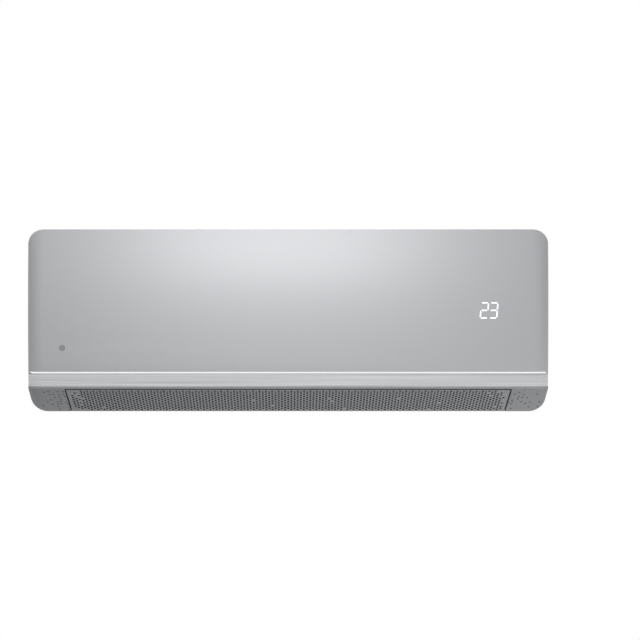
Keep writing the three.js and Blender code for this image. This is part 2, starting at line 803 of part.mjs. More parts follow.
const fanCentre = [fanY, fanZ];
const gutterDepth = 4;
const gutterZ = fanZ + scrollStartRadius * Math.sin(scrollStartAngle) - gutterDepth;
const gutterLipY = fanY + scrollStartRadius * Math.cos(scrollStartAngle);
const coilFoot = bottom + coilFootHeight;
const coilHead = top - coilHeadRoom;

// A fin block that stands on one point of the side view and ends at another
function blockBetween(name, foot, head) {
  const along = head.clone().sub(foot);
  const middle = foot.clone().add(head).multiplyScalar(0.5);
  return { name, y: middle.x, z: middle.y, height: along.length(), turn: Math.atan2(-along.x, along.y) };
}

function coilBlocksAround() {
  const point = (y, z) => new THREE.Vector2(y, z);
  const frontY0 = -caseDepth + coilSetBack;
  const lowerHead = point(frontY0, coilFoot + lowerShare * (coilHead - coilFoot));
  const upperFoot = point(lowerHead.x + foldStep[0], lowerHead.y + foldStep[1]);
  const ridge = point(upperFoot.x + (coilHead - upperFoot.y) * Math.tan(foldLean), coilHead);
  const rearFoot = point(gutterLipY + rearFootStep[0], gutterZ + rearFootStep[1]);
  return [
    blockBetween('evaporator_front_lower', point(frontY0, coilFoot), lowerHead),
    blockBetween('evaporator_front_upper', upperFoot, ridge),
    blockBetween('evaporator_rear', rearFoot, point(ridge.x + ridgeGap, coilHead)),
  ];
}

const coilBlocks = coilBlocksAround();
const rearBlock = coilBlocks[2];
const frontHeadY = coilBlocks[1].y + coilBlocks[1].height / 2 * Math.sin(foldLean);
const troughTop = coilFoot - coilPlateMargin - seatGap;
const coilBackY = coilBlocks[0].y + coilThickness / 2;
const tongueY = coilBackY + coilPlateSide + seatGap + wall;
const backWallFront = backWallY - wall;
const ductFloorZ = bottom + 2 * wall + 2 * seatGap;
const bearingX = -ductHalfWidth - wall;
const bearingRadius = 16;
const bushRadius = 10;
const motorLeft = fanRight + 14;
const motorRight = motorLeft + motorLength;
const saddleInner = motorRadius + seatGap;
const saddleOuter = saddleInner + motorClampWall;

function scrollPoints(extra) {
  return Array.from({ length: scrollSteps + 1 }, (_, i) => {
    const share = i / scrollSteps;
    const angle = scrollStartAngle + (scrollEndAngle - scrollStartAngle) * share;
    const growth = (scrollEndRadius - scrollStartRadius) * share ** scrollGrowth;
    const radius = scrollStartRadius + growth + extra;
    return new THREE.Vector2(fanY + radius * Math.cos(angle), fanZ + radius * Math.sin(angle));
  });
}

const scrollInner = scrollPoints(0);
const scrollOuter = scrollPoints(wall);
const scrollEnd = scrollInner.at(-1);
const floorEnd = new THREE.Vector2(outletRear + seatGap, ductFloorZ);
const floorDirection = floorEnd.clone().sub(scrollEnd).normalize();
const floorAngle = Math.atan2(-floorDirection.y, -floorDirection.x);
const floorLength = floorEnd.distanceTo(scrollEnd);
const vanePivot = scrollEnd.clone().addScaledVector(floorDirection, vanePlace * floorLength);
const vaneHalfChord = vaneChordShare * floorLength;
const pegOffset = vaneHalfChord - pegFromEdge;
const vaneStart = -vanePitch * (vaneCount - 1) / 2;

// The end wall of the fan tunnel and outlet, in Y and Z
function ductEndOutline() {
  const lead = louvreBarrelRadius + louvreBulge + 2;
  const bearingLip = louvreBarrelRadius - wall - seatGap;
  return [
    ...scrollOuter,
    new THREE.Vector2(floorEnd.x + 4, floorEnd.y - wall),
    new THREE.Vector2(pivotY + bearingLip, pivotZ - bearingLip),
    new THREE.Vector2(pivotY, pivotZ - bearingLip),
    new THREE.Vector2(pivotY - bearingLip * Math.sin(louvreSlope), pivotZ - bearingLip * Math.cos(louvreSlope)),
    new THREE.Vector2(lipY + lead * Math.sin(louvreSlope), lipFoot + lead * Math.cos(louvreSlope)),
    new THREE.Vector2(tongueY - 12, troughTop - 2 * wall),
    new THREE.Vector2(tongueY + 1, troughTop - 2 * wall),
    new THREE.Vector2(tongueY + 1, 2),
    new THREE.Vector2(scrollInner[0].x - 4, scrollInner[0].y),
  ].reverse();
}

{
  const x0 = -ductHalfWidth - wall;
  const x1 = ductHalfWidth + wall;
  const floorUnder = new THREE.Vector2(floorEnd.x, floorEnd.y - wall);
  const scroll = prism([...scrollInner, floorEnd, floorUnder, ...scrollOuter.slice().reverse()].reverse(),
    x0, x1);
  const lipFront = scrollInner[0].x;
  const gutter = join(
    box(x0, x1, lipFront, backWallFront + 1, gutterZ, gutterZ + wall),
    box(x0, x1, lipFront, lipFront + wall, gutterZ, gutterZ + 16),
  );
  const backWall = box(-chassisHalfWidth, chassisHalfWidth, backWallFront, backWallY,
    -chassisHalfHeight, chassisHalfHeight);
  const sideFront = -caseDepth + sideSetBack;
  const sides = mirrored((side) => {
    const [a, b] = span(side, chassisHalfWidth - wall, chassisHalfWidth);
    return prism([
      [backWallY, -chassisHalfHeight],
      [backWallY, chassisHalfHeight],
      [sideFront + sideRelief, chassisHalfHeight],
      [sideFront, foremostHeight],
      [sideFront, bottom + outletHeight + 10],
      [sideFront + sideRelief + 10, -chassisHalfHeight],
    ].map(([y, z]) => new THREE.Vector2(y, z)).reverse(), a, b);
  });
  const webHeight = 30;
  const webs = mirrored((side) => {
    const [a, b] = span(side, ductHalfWidth, ductHalfWidth + wall);
    return box(a, b, scrollOuter[4].x - 8, backWallFront + 1, gutterZ - webHeight, gutterZ + 1);
  });
  const ends = mirrored((side) => {
    const [a, b] = span(side, ductHalfWidth, ductHalfWidth + wall);
    return prism(ductEndOutline(), a, b);
  });
  const wheelRoom = tongueY - fanY;
  const tunnelWall = prism(ductEndOutline(), fanRight + 8, fanRight + 8 + wall).intersect(join(
    rod('x', Math.abs(wheelRoom) - runningGap, -far, far, fanCentre, 32),
    box(-far, far, fanY + 5, far, fanZ - scrollStartRadius, far),
  ));
  const saddleBand = cut(
    rod('x', saddleOuter, motorLeft + 8, motorRight - 8, fanCentre, 32),
    box(-far, far, -far, far, fanZ - seatGap / 2, far),
  );
  const saddleWebs = [motorLeft + 10, motorRight - 10 - wall].map((x) => prism(
    [new THREE.Vector2(fanY, fanZ - seatGap / 2), ...scrollOuter.slice(5, 13)].reverse(), x, x + wall,
  ));
  const motorRoom = rod('x', saddleInner, motorLeft - 2, motorRight + 2, fanCentre, 32);
  const shaftRoom = rod('x', hubRadius + runningGap, fanRight, motorLeft, fanCentre);
  const bearingRoom = rod('x', bearingRadius + seatGap, -far, -ductHalfWidth + 1, fanCentre, 24);
  const louvreBores = rod('x', louvrePinRadius + seatGap, -far, far, [pivotY, pivotZ], 12);
  const vaneBores = Array.from({ length: vaneCount }, (_, i) => {
    const bore = new THREE.CylinderGeometry(vanePinRadius + seatGap, vanePinRadius + seatGap, 4 * wall, 12);
    bore.rotateX(Math.PI / 2 + floorAngle);
    bore.translate(vaneStart + i * vanePitch, vanePivot.x, vanePivot.y);
    return solidOf(bore);
  });
  const bosses = mirrored((side) => (
    rod('z', screwHeadRadius + 1.5, bottom + wall + seatGap, scrollEnd.y + 3, [side * screwX, screwY])));
  const bossBores = mirrored((side) => (
    rod('z', screwRadius + seatGap, bottom, bottom + screwLength + 2, [side * screwX, screwY], 12)));
  const hookWindows = hookPlaces().map((x) => (
    box(x - hookWidth / 2 - 3, x + hookWidth / 2 + 3, backWallFront - 1, backWallY + 1,
      hookZ - hookRise - 4, hookZ)));
  const cableWindow = box(-cableWindowHalf, cableWindowHalf, backWallFront - 1, backWallY + 1,
    hookZ - cableWindowDrop - cableWindowHeight, hookZ - cableWindowDrop);

  const frame = join(backWall, sides, scroll, gutter, ends, webs, tunnelWall);
  const motorSeat = cut(join(saddleBand, saddleWebs), motorRoom);
  const chassis = cut(join(frame, motorSeat, bosses), shaftRoom, bearingRoom, louvreBores, vaneBores,
    bossBores, hookWindows, cableWindow);
  add('chassis', chassis, darkPlastic);
}

// ---------------------------------------------------------------------------
// Drain pan: trough under the front coil, tongue beside the fan and roof of the outlet duct
// ---------------------------------------------------------------------------

{
  const frontLip = frontPlateBack + seatGap;
  const low = troughTop - wall;
  const trough = cut(
    box(coilLeft - 6, coilRight + 8, frontLip, tongueY, low, coilFoot + 10),
    box(coilLeft - 4, coilRight + 6, frontLip + troughLip, tongueY - wall, troughTop, far),
  );
  const roof = prism([
    [tongueY, low + 1],
    [tongueY - 8, low + 1],
    [lipY + 12, lipFoot + 8],
    [lipY + 9.5, lipFoot + 5],
    [lipY + 13, lipFoot + 4.5],
    [tongueY, low - wall],
  ].map(([y, z]) => new THREE.Vector2(y, z)), -ductHalfWidth + seatGap, ductHalfWidth - seatGap);
  const motorRoom = rod('x', motorRadius + 2, fanRight + 6, ductHalfWidth + 1, fanCentre, 32);
  const drainAt = [drainX, coilBlocks[0].y];
  const drainHole = rod('z', drainBore, low - 1, troughTop + 1, drainAt);
  add('drain_pan', cut(join(trough, roof), motorRoom, drainHole), whitePlastic);
  const collarTop = low - seatGap;
  const spigot = join(
    rod('z', drainOuter, collarTop - drainLength, collarTop, drainAt, 20),
    rod('z', drainOuter + 0.9, collarTop - drainLength + 4, collarTop - drainLength + 8, drainAt, 20),
  );
  const spigotBore = rod('z', drainBore, collarTop - drainLength - 1, collarTop + 1, drainAt);
  add('drain_spigot', cut(spigot, spigotBore), rubber);
}

// ---------------------------------------------------------------------------
// Evaporator: three fin blocks between two end plates
// ---------------------------------------------------------------------------

function coilOutline(block) {
  const half = coilThickness / 2 + coilPlateSide;
  const rise = block.height / 2 + coilPlateMargin;
  return rectangle(-half, half, -rise, rise).map((p) => (
    p.rotateAround(new THREE.Vector2(0, 0), block.turn).add(new THREE.Vector2(block.y, block.z))));
}

for (const block of coilBlocks) {
  const fins = new THREE.BoxGeometry(coilRight - coilLeft, coilThickness, block.height);
  const middle = (coilLeft + coilRight) / 2;
  const seat = groupAt(middle, block.y, block.z, block.turn);
  add(block.name, solidOf(fins), finAluminium, seat);
}

{
  const tieTop = coilHead - ridgeTieDrop;
  const plate = (x0, x1) => join(coilBlocks.map((block) => prism(coilOutline(block), x0, x1)),
    box(x0, x1, frontHeadY, frontHeadY + ridgeGap, tieTop - ridgeTieHeight, tieTop));
  const left = coilLeft - seatGap;
  const right = coilRight + seatGap;
  add('coil_end_plate_left', plate(left - coilPlateThickness, left), galvanised);
  add('coil_end_plate_right', plate(right, right + coilPlateThickness), galvanised);
  const holderX = right + coilPlateThickness + seatGap;
  const bulbAt = [coilBlocks[0].y, coilFoot + bulbHeight];
  add('coil_sensor', rod('x', bulbRadius, holderX, holderX + bulbLength, bulbAt, 12), copper);
}

// ---------------------------------------------------------------------------
// Cross-flow fan: ring discs joined by curved blades, on a stub shaft and the motor shaft
// ---------------------------------------------------------------------------

{
  const inner = fanRadius - bladeChord - 1;
  const length = fanRight - fanLeft;
  const rings = [0.25, 0.5, 0.75].map((t) => {
    const x = fanLeft + length * t;
    return ring('x', fanRadius - 0.5, inner, x - discThickness / 2, x + discThickness / 2, [0, 0], 24);
  });
  const discs = [
    rod('x', fanRadius, fanLeft, fanLeft + discThickness, [0, 0], 24),
    rod('x', fanRadius, fanRight - discThickness, fanRight, [0, 0], 24),
  ];
  const blades = Array.from({ length: bladeCount }, (_, i) => {
    const turn = 2 * Math.PI * i / bladeCount;
    const outline = [
      [inner + 0.5, 0],
      [inner + bladeChord / 2, -2.4],
      [fanRadius - 0.8, -2.6],
      [fanRadius - 0.8, -2.6 + bladeThickness],
      [inner + bladeChord / 2, -2.4 + bladeThickness],
      [inner + 0.5, bladeThickness],
    ].map(([u, v]) => new THREE.Vector2(u, v).rotateAround(new THREE.Vector2(0, 0), turn));
    return prism(outline, fanLeft + 1, fanRight - 1);
  });
  const hub = rod('x', hubRadius, fanRight - 1, fanRight + hubLength, [0, 0]);
  const shaftBore = rod('x', shaftRadius + seatGap, fanRight - 10, fanRight + hubLength + 1, [0, 0]);
  const stubBore = rod('x', shaftRadius + seatGap, fanLeft - 1, fanLeft + 10, [0, 0]);
  const stubHub = rod('x', hubRadius, fanLeft + 1, fanLeft + 9, [0, 0]);
  const wheel = groupAt(0, fanY, fanZ);
  add('cross_flow_fan', cut(join(discs, rings, blades, hub, stubHub), shaftBore, stubBore), darkPlastic, wheel);
  const stubEnd = bearingX - 4;
  add('fan_stub_shaft', rod('x', shaftRadius, stubEnd, fanLeft + 8, [0, 0]), galvanised, wheel);
  add('motor_shaft', rod('x', shaftRadius, fanRight - 8, motorRight - 8, [0, 0]), galvanised, wheel);
}

{
  const holder = join(
    ring('x', bearingRadius, bushRadius + seatGap, bearingX - 3, -ductHalfWidth, fanCentre),
    ring('x', bearingRadius + 4, bushRadius + seatGap, bearingX - 3, bearingX - seatGap, fanCentre),
  );
  add('bearing_holder', holder, whitePlastic);
  add('bearing_bush', ring('x', bushRadius, shaftRadius + seatGap, bearingX - 3, -ductHalfWidth, fanCentre),
    rubber);
}

// ---------------------------------------------------------------------------
// Fan motor and its clamp, held on the chassis saddle
// ---------------------------------------------------------------------------

{
  const can = join(
    rod('x', motorRadius, motorLeft + 6, motorRight - 6, fanCentre, 32),
    rod('x', motorRadius * 0.45, motorLeft, motorRight, fanCentre, 24),
  );
  const bore = rod('x', shaftRadius + seatGap, motorLeft - 1, motorRight - 7, fanCentre);
  add('fan_motor', cut(can, bore), galvanised);
  const band = cut(
    ring('x', saddleOuter, saddleInner, motorLeft + 8, motorRight - 8, fanCentre, 32),
    box(-far, far, -far, far, -far, fanZ + seatGap / 2),
  );
  add('motor_clamp', band, galvanised);
}

// ---------------------------------------------------------------------------
// Louvre motor: small geared motor on the outer face of the right duct end
// ---------------------------------------------------------------------------

{
  const x0 = ductHalfWidth + wall + seatGap;
  const x1 = x0 + gearDepth;
  const pivot = new THREE.Vector2(pivotY, pivotZ);
  const canAt = pivot.clone().add(new THREE.Vector2(gearOffset[0], gearOffset[1]));
  const head = rod('x', gearNeck, x0, x1, [pivot.x, pivot.y]);
  const can = rod('x', gearRadius, x0, x1, [canAt.x, canAt.y], 24);
  const lean = canAt.clone().sub(pivot).normalize();
  const side = new THREE.Vector2(-lean.y, lean.x).multiplyScalar(gearNeck);
  const neck = prism([
    pivot.clone().sub(side),
    canAt.clone().sub(side),
    canAt.clone().add(side),
    pivot.clone().add(side),
  ], x0, x1);
  const bore = rod('x', louvrePinRadius + seatGap, x0 - 1, x0 + 8, [pivotY, pivotZ], 12);
  add('louvre_motor', cut(join(head, can, neck), bore), whitePlastic);
}

// ---------------------------------------------------------------------------
// Air vanes and the two bars that link them
// ---------------------------------------------------------------------------

function vaneSolid() {
  const x = vaneThickness / 2;
  const notchBack = -vaneHalfChord / 3;
  const outline = [
    [-vaneHalfChord, vaneFoot],
    [vaneHalfChord, vaneFoot],
    [vaneHalfChord, vaneHeight],
    [-vaneHalfChord + 6, vaneHeight],
    [-vaneHalfChord, pegTop + 4],
    [-vaneHalfChord, pegTop],
    [notchBack, pegTop],
    [notchBack, pegBottom],
    [-vaneHalfChord, pegBottom],
  ].map(([y, z]) => new THREE.Vector2(y, z));
  const peg = rod('z', pegRadius, pegBottom - 1, pegTop + 1, [0, -pegOffset], 12);
  const pin = rod('z', vanePinRadius, -2, vaneFoot + 3, [0, 0], 12);
  const collar = rod('z', 4, seatGap, vaneFoot + 1, [0, 0], 12);
  return join(prism(outline, -x, x), peg, pin, collar);
}

for (let i = 0; i < vaneCount; i += 1) {
  const seat = groupAt(vaneStart + i * vanePitch, vanePivot.x, vanePivot.y, floorAngle);
  add(`air_vane_${i + 1}`, vaneSolid(), darkPlastic, seat);
}

for (const [name, first] of [['vane_link_left', 0], ['vane_link_right', vaneCount / 2]]) {
  const length = vanePitch * (vaneCount / 2 - 1);
  const middle = (pegBottom + pegTop) / 2;
  const y = -pegOffset;
  const bar = box(-linkEnd, length + linkEnd, y - linkWidth / 2, y + linkWidth / 2,
    middle - linkThickness / 2, middle + linkThickness / 2);
  const holes = Array.from({ length: vaneCount / 2 }, (_, i) => (
    rod('z', pegRadius + seatGap, pegBottom, pegTop, [i * vanePitch, y], 12)));
  const seat = groupAt(vaneStart + first * vanePitch, vanePivot.x, vanePivot.y, floorAngle);
  add(name, cut(bar, holes), whitePlastic, seat);
}

// ---------------------------------------------------------------------------
// Electrical box with its cover, control board and terminal block
// ---------------------------------------------------------------------------

{
  const right = chassisHalfWidth - wall - seatGap;
  const boxTop = boxBottom + boxHeight;
  const tray = cut(
    box(boxLeft, right, boxFront, boxBack, boxBottom, boxTop),
    box(boxLeft + wall, right - wall, boxFront - 1, boxBack - wall, boxBottom + wall, boxTop - wall),
  );
  add('electrical_box', tray, greyPlastic);
  const coverBack = boxFront - seatGap;
  add('electrical_box_cover', box(boxLeft, right, coverBack - 2, coverBack, boxBottom, boxTop), galvanised);
  const boardBack = boxBack - wall - boardStandOff;
  const inside = wall + seatGap;
  const board = box(boxLeft + inside, right - inside, boardBack - boardThickness, boardBack,
    boxBottom + inside, boxTop - inside);
  const at = (share) => boxLeft + share * (right - boxLeft);
  const up = (share) => boxBottom + share * boxHeight;
  const fittings = [
    box(at(0.11), at(0.38), boardBack - transformerDepth, boardBack, up(0.57), up(0.8)),
    rod('y', capacitorRadius, boardBack - transformerDepth - 4, boardBack, [at(0.59), up(0.69)]),
    box(at(0.17), at(0.32), boardBack - relayDepth, boardBack, up(0.29), up(0.4)),
  ];
  add('control_board', join(board, fittings), boardGreen);
  const blockBack = boardBack - boardThickness - terminalHeight;
  const blockFoot = boxBottom + inside;
  const block = cut(
    box(at(0.28), at(0.85), blockBack - relayDepth, blockBack, blockFoot, blockFoot + terminalHeight),
    [0, 1, 2, 3].map((i) => box(at(0.32 + 0.132 * i), at(0.41 + 0.132 * i), blockBack - relayDepth - 1,
      blockBack - 7, blockFoot + 4, boxBottom + boxHeight)),
  );
  add('terminal_block', block, whitePlastic);
}

// ---------------------------------------------------------------------------
// Display board, emergency button and room sensor on the front plate, right of the coil
// ---------------------------------------------------------------------------

{
  const face = frontPlateBack + seatGap;
  const board = box(displayX - displayBoardHalf, displayX + displayBoardHalf, face, face + boardThickness,
    displayZ - displayBoardHalf + 2, displayZ + displayBoardHalf - 2);
  const digits = box(displayX - digitsHalf[0], displayX + digitsHalf[0], cabinetFront, face + 0.5,
    displayZ - digitsHalf[1], displayZ + digitsHalf[1]);
  add('display_board', join(board, digits), boardGreen);
  const button = join(
    rod('y', buttonRadius, cabinetFront - 2, face + 1, [buttonX, buttonZ]),
    rod('y', buttonRadius + 1.5, face, face + 1.5, [buttonX, buttonZ]),
  );
  add('emergency_button', button, whitePlastic);
  add('room_sensor', box(sensorX - 4, sensorX + 4, face, face + 5, sensorZ - 6, sensorZ + 6), whitePlastic);
}

// ---------------------------------------------------------------------------
// Refrigerant pipes from the coil's right end into the rear channel, with their foam and nuts
// ---------------------------------------------------------------------------

function pipeAlong(points, radius) {
  const path = new THREE.CurvePath();
  let from = points[0];
  for (let i = 1; i + 1 < points.length; i += 1) {
    const before = points[i].clone().add(points[i - 1].clone().sub(points[i]).setLength(pipeCorner));
    const after = points[i].clone().add(points[i + 1].clone().sub(points[i]).setLength(pipeCorner));
    path.add(new THREE.LineCurve3(from, before));
    path.add(new THREE.QuadraticBezierCurve3(before, points[i], after));
    from = after;
  }
  path.add(new THREE.LineCurve3(from, points.at(-1)));
  const shape = new THREE.Shape(arcPoints(0, 0, radius, 0, 2 * Math.PI, 10).slice(0, -1));
  const geometry = new THREE.ExtrudeGeometry(shape, { steps: 44, extrudePath: path, bevelEnabled: false });
  return solidOf(geometry);
}

{
  const start = coilRight + seatGap + coilPlateThickness + seatGap;
  const at = (x, y, z) => new THREE.Vector3(x, y, z);
  const routes = [
    { name: 'gas_pipe', radius: gasPipeRadius, z: gasPipeZ, inset: gasPipeInset, rise: -pipeRise },
    { name: 'liquid_pipe', radius: liquidPipeRadius, z: liquidPipeZ, inset: liquidPipeInset, rise: pipeRise },
  ];
  for (const { name, radius, z, inset: fromEnd, rise } of routes) {
    const down = halfWidth - fromEnd;
    const fromZ = rearBlock.z + rise;
    const route = [
      at(start, rearBlock.y, fromZ),
      at(down - 8, rearBlock.y, fromZ),
      at(down, pipeY, fromZ - 20),
      at(down, pipeY, z),
      at(pipeLeft, pipeY, z),
    ];
    add(name, pipeAlong(route, radius), copper);
    const nutStart = pipeLeft + nutFromEnd;
    const nut = rod('x', radius + nutWall, nutStart, nutStart + nutLength, [pipeY, z], 6);
    const bore = rod('x', radius + seatGap, pipeLeft, nutStart + nutLength + 2, [pipeY, z], 16);
    add(name.replace('pipe', 'flare_nut'), cut(nut, bore), brass);
  }
  const rGas = gasPipeRadius + sleeveWall;
  const sleeve = cut(
    box(pipeLeft + sleeveStart, halfWidth - sleeveEnd, pipeY - rGas, pipeY + rGas, liquidPipeZ - rGas, gasPipeZ + rGas),
    rod('x', gasPipeRadius + seatGap, -far, far, [pipeY, gasPipeZ]),
    rod('x', liquidPipeRadius + seatGap, -far, far, [pipeY, liquidPipeZ]),
  );
  add('pipe_insulation', sleeve, foam);
}

// ---------------------------------------------------------------------------
// Screws that fix the cabinet to the chassis from below
// ---------------------------------------------------------------------------

for (const [name, side] of [['cabinet_screw_left', -1], ['cabinet_screw_right', 1]]) {
  const at = [side * screwX, screwY];
  const screw = join(
    rod('z', screwRadius, bottom + 0.5, bottom + screwLength, at, 12),
    rod('z', screwHeadRadius, bottom, bottom + 1, at, 16),
  );
  add(name, screw, galvanised);
}

export default unit;
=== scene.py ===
"""Mini split indoor unit: the finished look of a wall-hung room air conditioner, piece by piece.

Metres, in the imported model's own frame: X to the right as seen from the room, Y from the room to the
wall, Z up. The case comes first, from the front panel back, then the coil, the fan and its air path, the
electrical pieces, the pipes and screws, and the studio last.
"""

import json

import bmesh
import bpy
import numpy as np
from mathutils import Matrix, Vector


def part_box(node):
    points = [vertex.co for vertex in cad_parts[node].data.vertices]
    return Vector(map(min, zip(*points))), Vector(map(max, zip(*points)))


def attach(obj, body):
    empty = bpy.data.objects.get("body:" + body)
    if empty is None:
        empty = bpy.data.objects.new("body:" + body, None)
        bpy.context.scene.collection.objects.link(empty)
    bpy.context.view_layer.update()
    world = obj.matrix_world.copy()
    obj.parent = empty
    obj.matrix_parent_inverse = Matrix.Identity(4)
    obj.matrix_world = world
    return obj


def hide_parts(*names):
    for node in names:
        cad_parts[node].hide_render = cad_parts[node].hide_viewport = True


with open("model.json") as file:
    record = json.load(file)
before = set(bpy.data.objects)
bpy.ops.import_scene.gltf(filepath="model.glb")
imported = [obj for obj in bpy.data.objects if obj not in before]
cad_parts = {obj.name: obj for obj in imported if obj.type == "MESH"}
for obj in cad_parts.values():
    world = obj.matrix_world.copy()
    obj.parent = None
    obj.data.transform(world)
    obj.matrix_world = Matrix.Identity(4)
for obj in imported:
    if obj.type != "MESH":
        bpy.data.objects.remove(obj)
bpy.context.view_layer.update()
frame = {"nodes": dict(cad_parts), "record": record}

# ---------------------------------------------------------------------------
# Front panel: one large injection-moulded skin, sprayed silver with a fine flake, with a bright-cut
# chamfer along its foot. It hangs on two pins near its top edge.
# ---------------------------------------------------------------------------

MM = 0.001
home = {node: body for body, nodes in frame["record"]["behaviour"]["bodies"].items() for node in nodes}


def put(tree, kind, inputs=None, **settings):
    """Adds a shader node; an input given as a socket is linked, any other value is set."""
    node = tree.nodes.new(kind)
    for key, value in settings.items():
        setattr(node, key, value)
    for key, value in (inputs or {}).items():
        if isinstance(value, bpy.types.NodeSocket):
            tree.links.new(value, node.inputs[key])
        else:
            node.inputs[key].default_value = value
    return node


def surface_effect(name, build):
    """A shader node group from Position and Size to Height and Tone, both between 0 and 1."""
    group = bpy.data.node_groups.new(name, "ShaderNodeTree")
    face = group.interface
    face.new_socket(name="Position", in_out="INPUT", socket_type="NodeSocketVector")
    size = face.new_socket(name="Size", in_out="INPUT", socket_type="NodeSocketFloat")
    size.default_value = 0.001
    face.new_socket(name="Height", in_out="OUTPUT", socket_type="NodeSocketFloat")
    face.new_socket(name="Tone", in_out="OUTPUT", socket_type="NodeSocketFloat")
    start = put(group, "NodeGroupInput")
    end = put(group, "NodeGroupOutput")
    rate = put(group, "ShaderNodeMath", {0: 1.0, 1: start.outputs["Size"]}, operation="DIVIDE")
    height, tone = build(group, start.outputs["Position"], rate.outputs[0])
    group.links.new(height, end.inputs["Height"])
    group.links.new(tone, end.inputs["Tone"])
    return group


def flake_coat(tree, position, rate):
    """Orange peel for the height, and tiny cells of random brightness for the metal flakes."""
    peel = put(tree, "ShaderNodeTexNoise", {"Vector": position, "Scale": 420.0, "Detail": 1.0})
    cells = put(tree, "ShaderNodeTexVoronoi", {"Vector": position, "Scale": rate})
    split = put(tree, "ShaderNodeSeparateColor", {"Color": cells.outputs["Color"]})
    return peel.outputs["Fac"], split.outputs["Red"]


def moulded_grain(tree, position, rate):
    """Fine spark-eroded texture for the height, and a slow uneven tone over the moulding."""
    fine = put(tree, "ShaderNodeTexNoise", {"Vector": position, "Scale": rate, "Detail": 2.0})
    slow = put(tree, "ShaderNodeTexNoise", {"Vector": position, "Scale": 14.0, "Detail": 3.0})
    return fine.outputs["Fac"], slow.outputs["Fac"]


effects = {
    "flake_coat": surface_effect("flake_coat", flake_coat),
    "moulded_grain": surface_effect("moulded_grain", moulded_grain),
}


def dust_group():
    """Mask of settled dust: faces that look up, broken by noise, times an amount."""
    group = bpy.data.node_groups.new("settled_dust", "ShaderNodeTree")
    face = group.interface
    face.new_socket(name="Position", in_out="INPUT", socket_type="NodeSocketVector")
    face.new_socket(name="Amount", in_out="INPUT", socket_type="NodeSocketFloat")
    face.new_socket(name="Mask", in_out="OUTPUT", socket_type="NodeSocketFloat")
    start = put(group, "NodeGroupInput")
    end = put(group, "NodeGroupOutput")
    shape = put(group, "ShaderNodeNewGeometry")
    up = put(group, "ShaderNodeSeparateXYZ", {0: shape.outputs["Normal"]})
    facing = put(group, "ShaderNodeMapRange", {"Value": up.outputs["Z"], "From Min": 0.25, "From Max": 0.95})
    patches = put(group, "ShaderNodeTexNoise", {"Vector": start.outputs["Position"], "Scale": 60.0,
                                                "Detail": 5.0})
    broken = put(group, "ShaderNodeMath", {0: facing.outputs[0], 1: patches.outputs["Fac"]},
                 operation="MULTIPLY")
    mask = put(group, "ShaderNodeMath", {0: broken.outputs[0], 1: start.outputs["Amount"]},
               operation="MULTIPLY", use_clamp=True)
    group.links.new(mask.outputs[0], end.inputs["Mask"])
    return group


settled_dust = dust_group()


def finish_of(name, colour, roughness, metallic=0.0, effect="moulded_grain", size=0.0008, relief=0.05,
              depth=0.0001, tone=0.08, dust=0.0, spread=0.06):
    """A material: colour varied by the effect's tone, dust on top, and the effect's height as a bump."""
    material = bpy.data.materials.new(name)
    material.use_nodes = True
    tree = material.node_tree
    shader = tree.nodes["Principled BSDF"]
    place = put(tree, "ShaderNodeTexCoord").outputs["Object"]
    look = put(tree, "ShaderNodeGroup", {}, node_tree=effects[effect])
    tree.links.new(place, look.inputs["Position"])
    look.inputs["Size"].default_value = size
    low = [c * (1 - tone) for c in colour] + [1]
    high = [min(1, c * (1 + tone)) for c in colour] + [1]
    mixed = put(tree, "ShaderNodeMix", {"Factor": look.outputs["Tone"], "A": low, "B": high},
                data_type="RGBA", label="tone")
    shown = mixed.outputs["Result"]
    if dust:
        settled = put(tree, "ShaderNodeGroup", {}, node_tree=settled_dust)
        tree.links.new(place, settled.inputs["Position"])
        settled.inputs["Amount"].default_value = dust
        dusty = put(tree, "ShaderNodeMix", {"Factor": settled.outputs["Mask"], "A": shown,
                                            "B": (0.5, 0.48, 0.45, 1)}, data_type="RGBA", label="dust")
        shown = dusty.outputs["Result"]
    gloss = put(tree, "ShaderNodeMapRange", {"Value": look.outputs["Tone"], "To Min": roughness - spread,
                                             "To Max": roughness + spread})
    bump = put(tree, "ShaderNodeBump", {"Height": look.outputs["Height"], "Strength": relief,
                                        "Distance": depth})
    tree.links.new(shown, shader.inputs["Base Color"])
    tree.links.new(gloss.outputs[0], shader.inputs["Roughness"])
    tree.links.new(bump.outputs["Normal"], shader.inputs["Normal"])
    shader.inputs["Metallic"].default_value = metallic
    return material


def piece_from(name, corners, faces, materials, body, slot, material_index=None):
    """A mesh object from arrays of corners and faces, riding on a body."""
    mesh = bpy.data.meshes.new(name)
    mesh.from_pydata(np.asarray(corners, float).tolist(), [], [list(map(int, f)) for f in faces])
    for material in materials:
        mesh.materials.append(material)
    if material_index is not None:
        mesh.polygons.foreach_set("material_index", np.asarray(material_index, np.int32))
    mesh.validate()
    piece = bpy.data.objects.new(name, mesh)
    bpy.context.scene.collection.objects.link(piece)
    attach(piece, body)
    return piece


def shade(piece, angle=34.0, edge=0.0):
    """Smooth shading up to an angle, and a small rounded edge where one is given."""
    piece.data.shade_smooth()
    piece.data.set_sharp_from_angle(angle=np.radians(angle))
    if edge:
        rounding = piece.modifiers.new("rounded edge", "BEVEL")
        rounding.width = edge
        rounding.segments = 2
        rounding.limit_method = "ANGLE"
        rounding.angle_limit = np.radians(40)
        rounding.harden_normals = True
    return piece


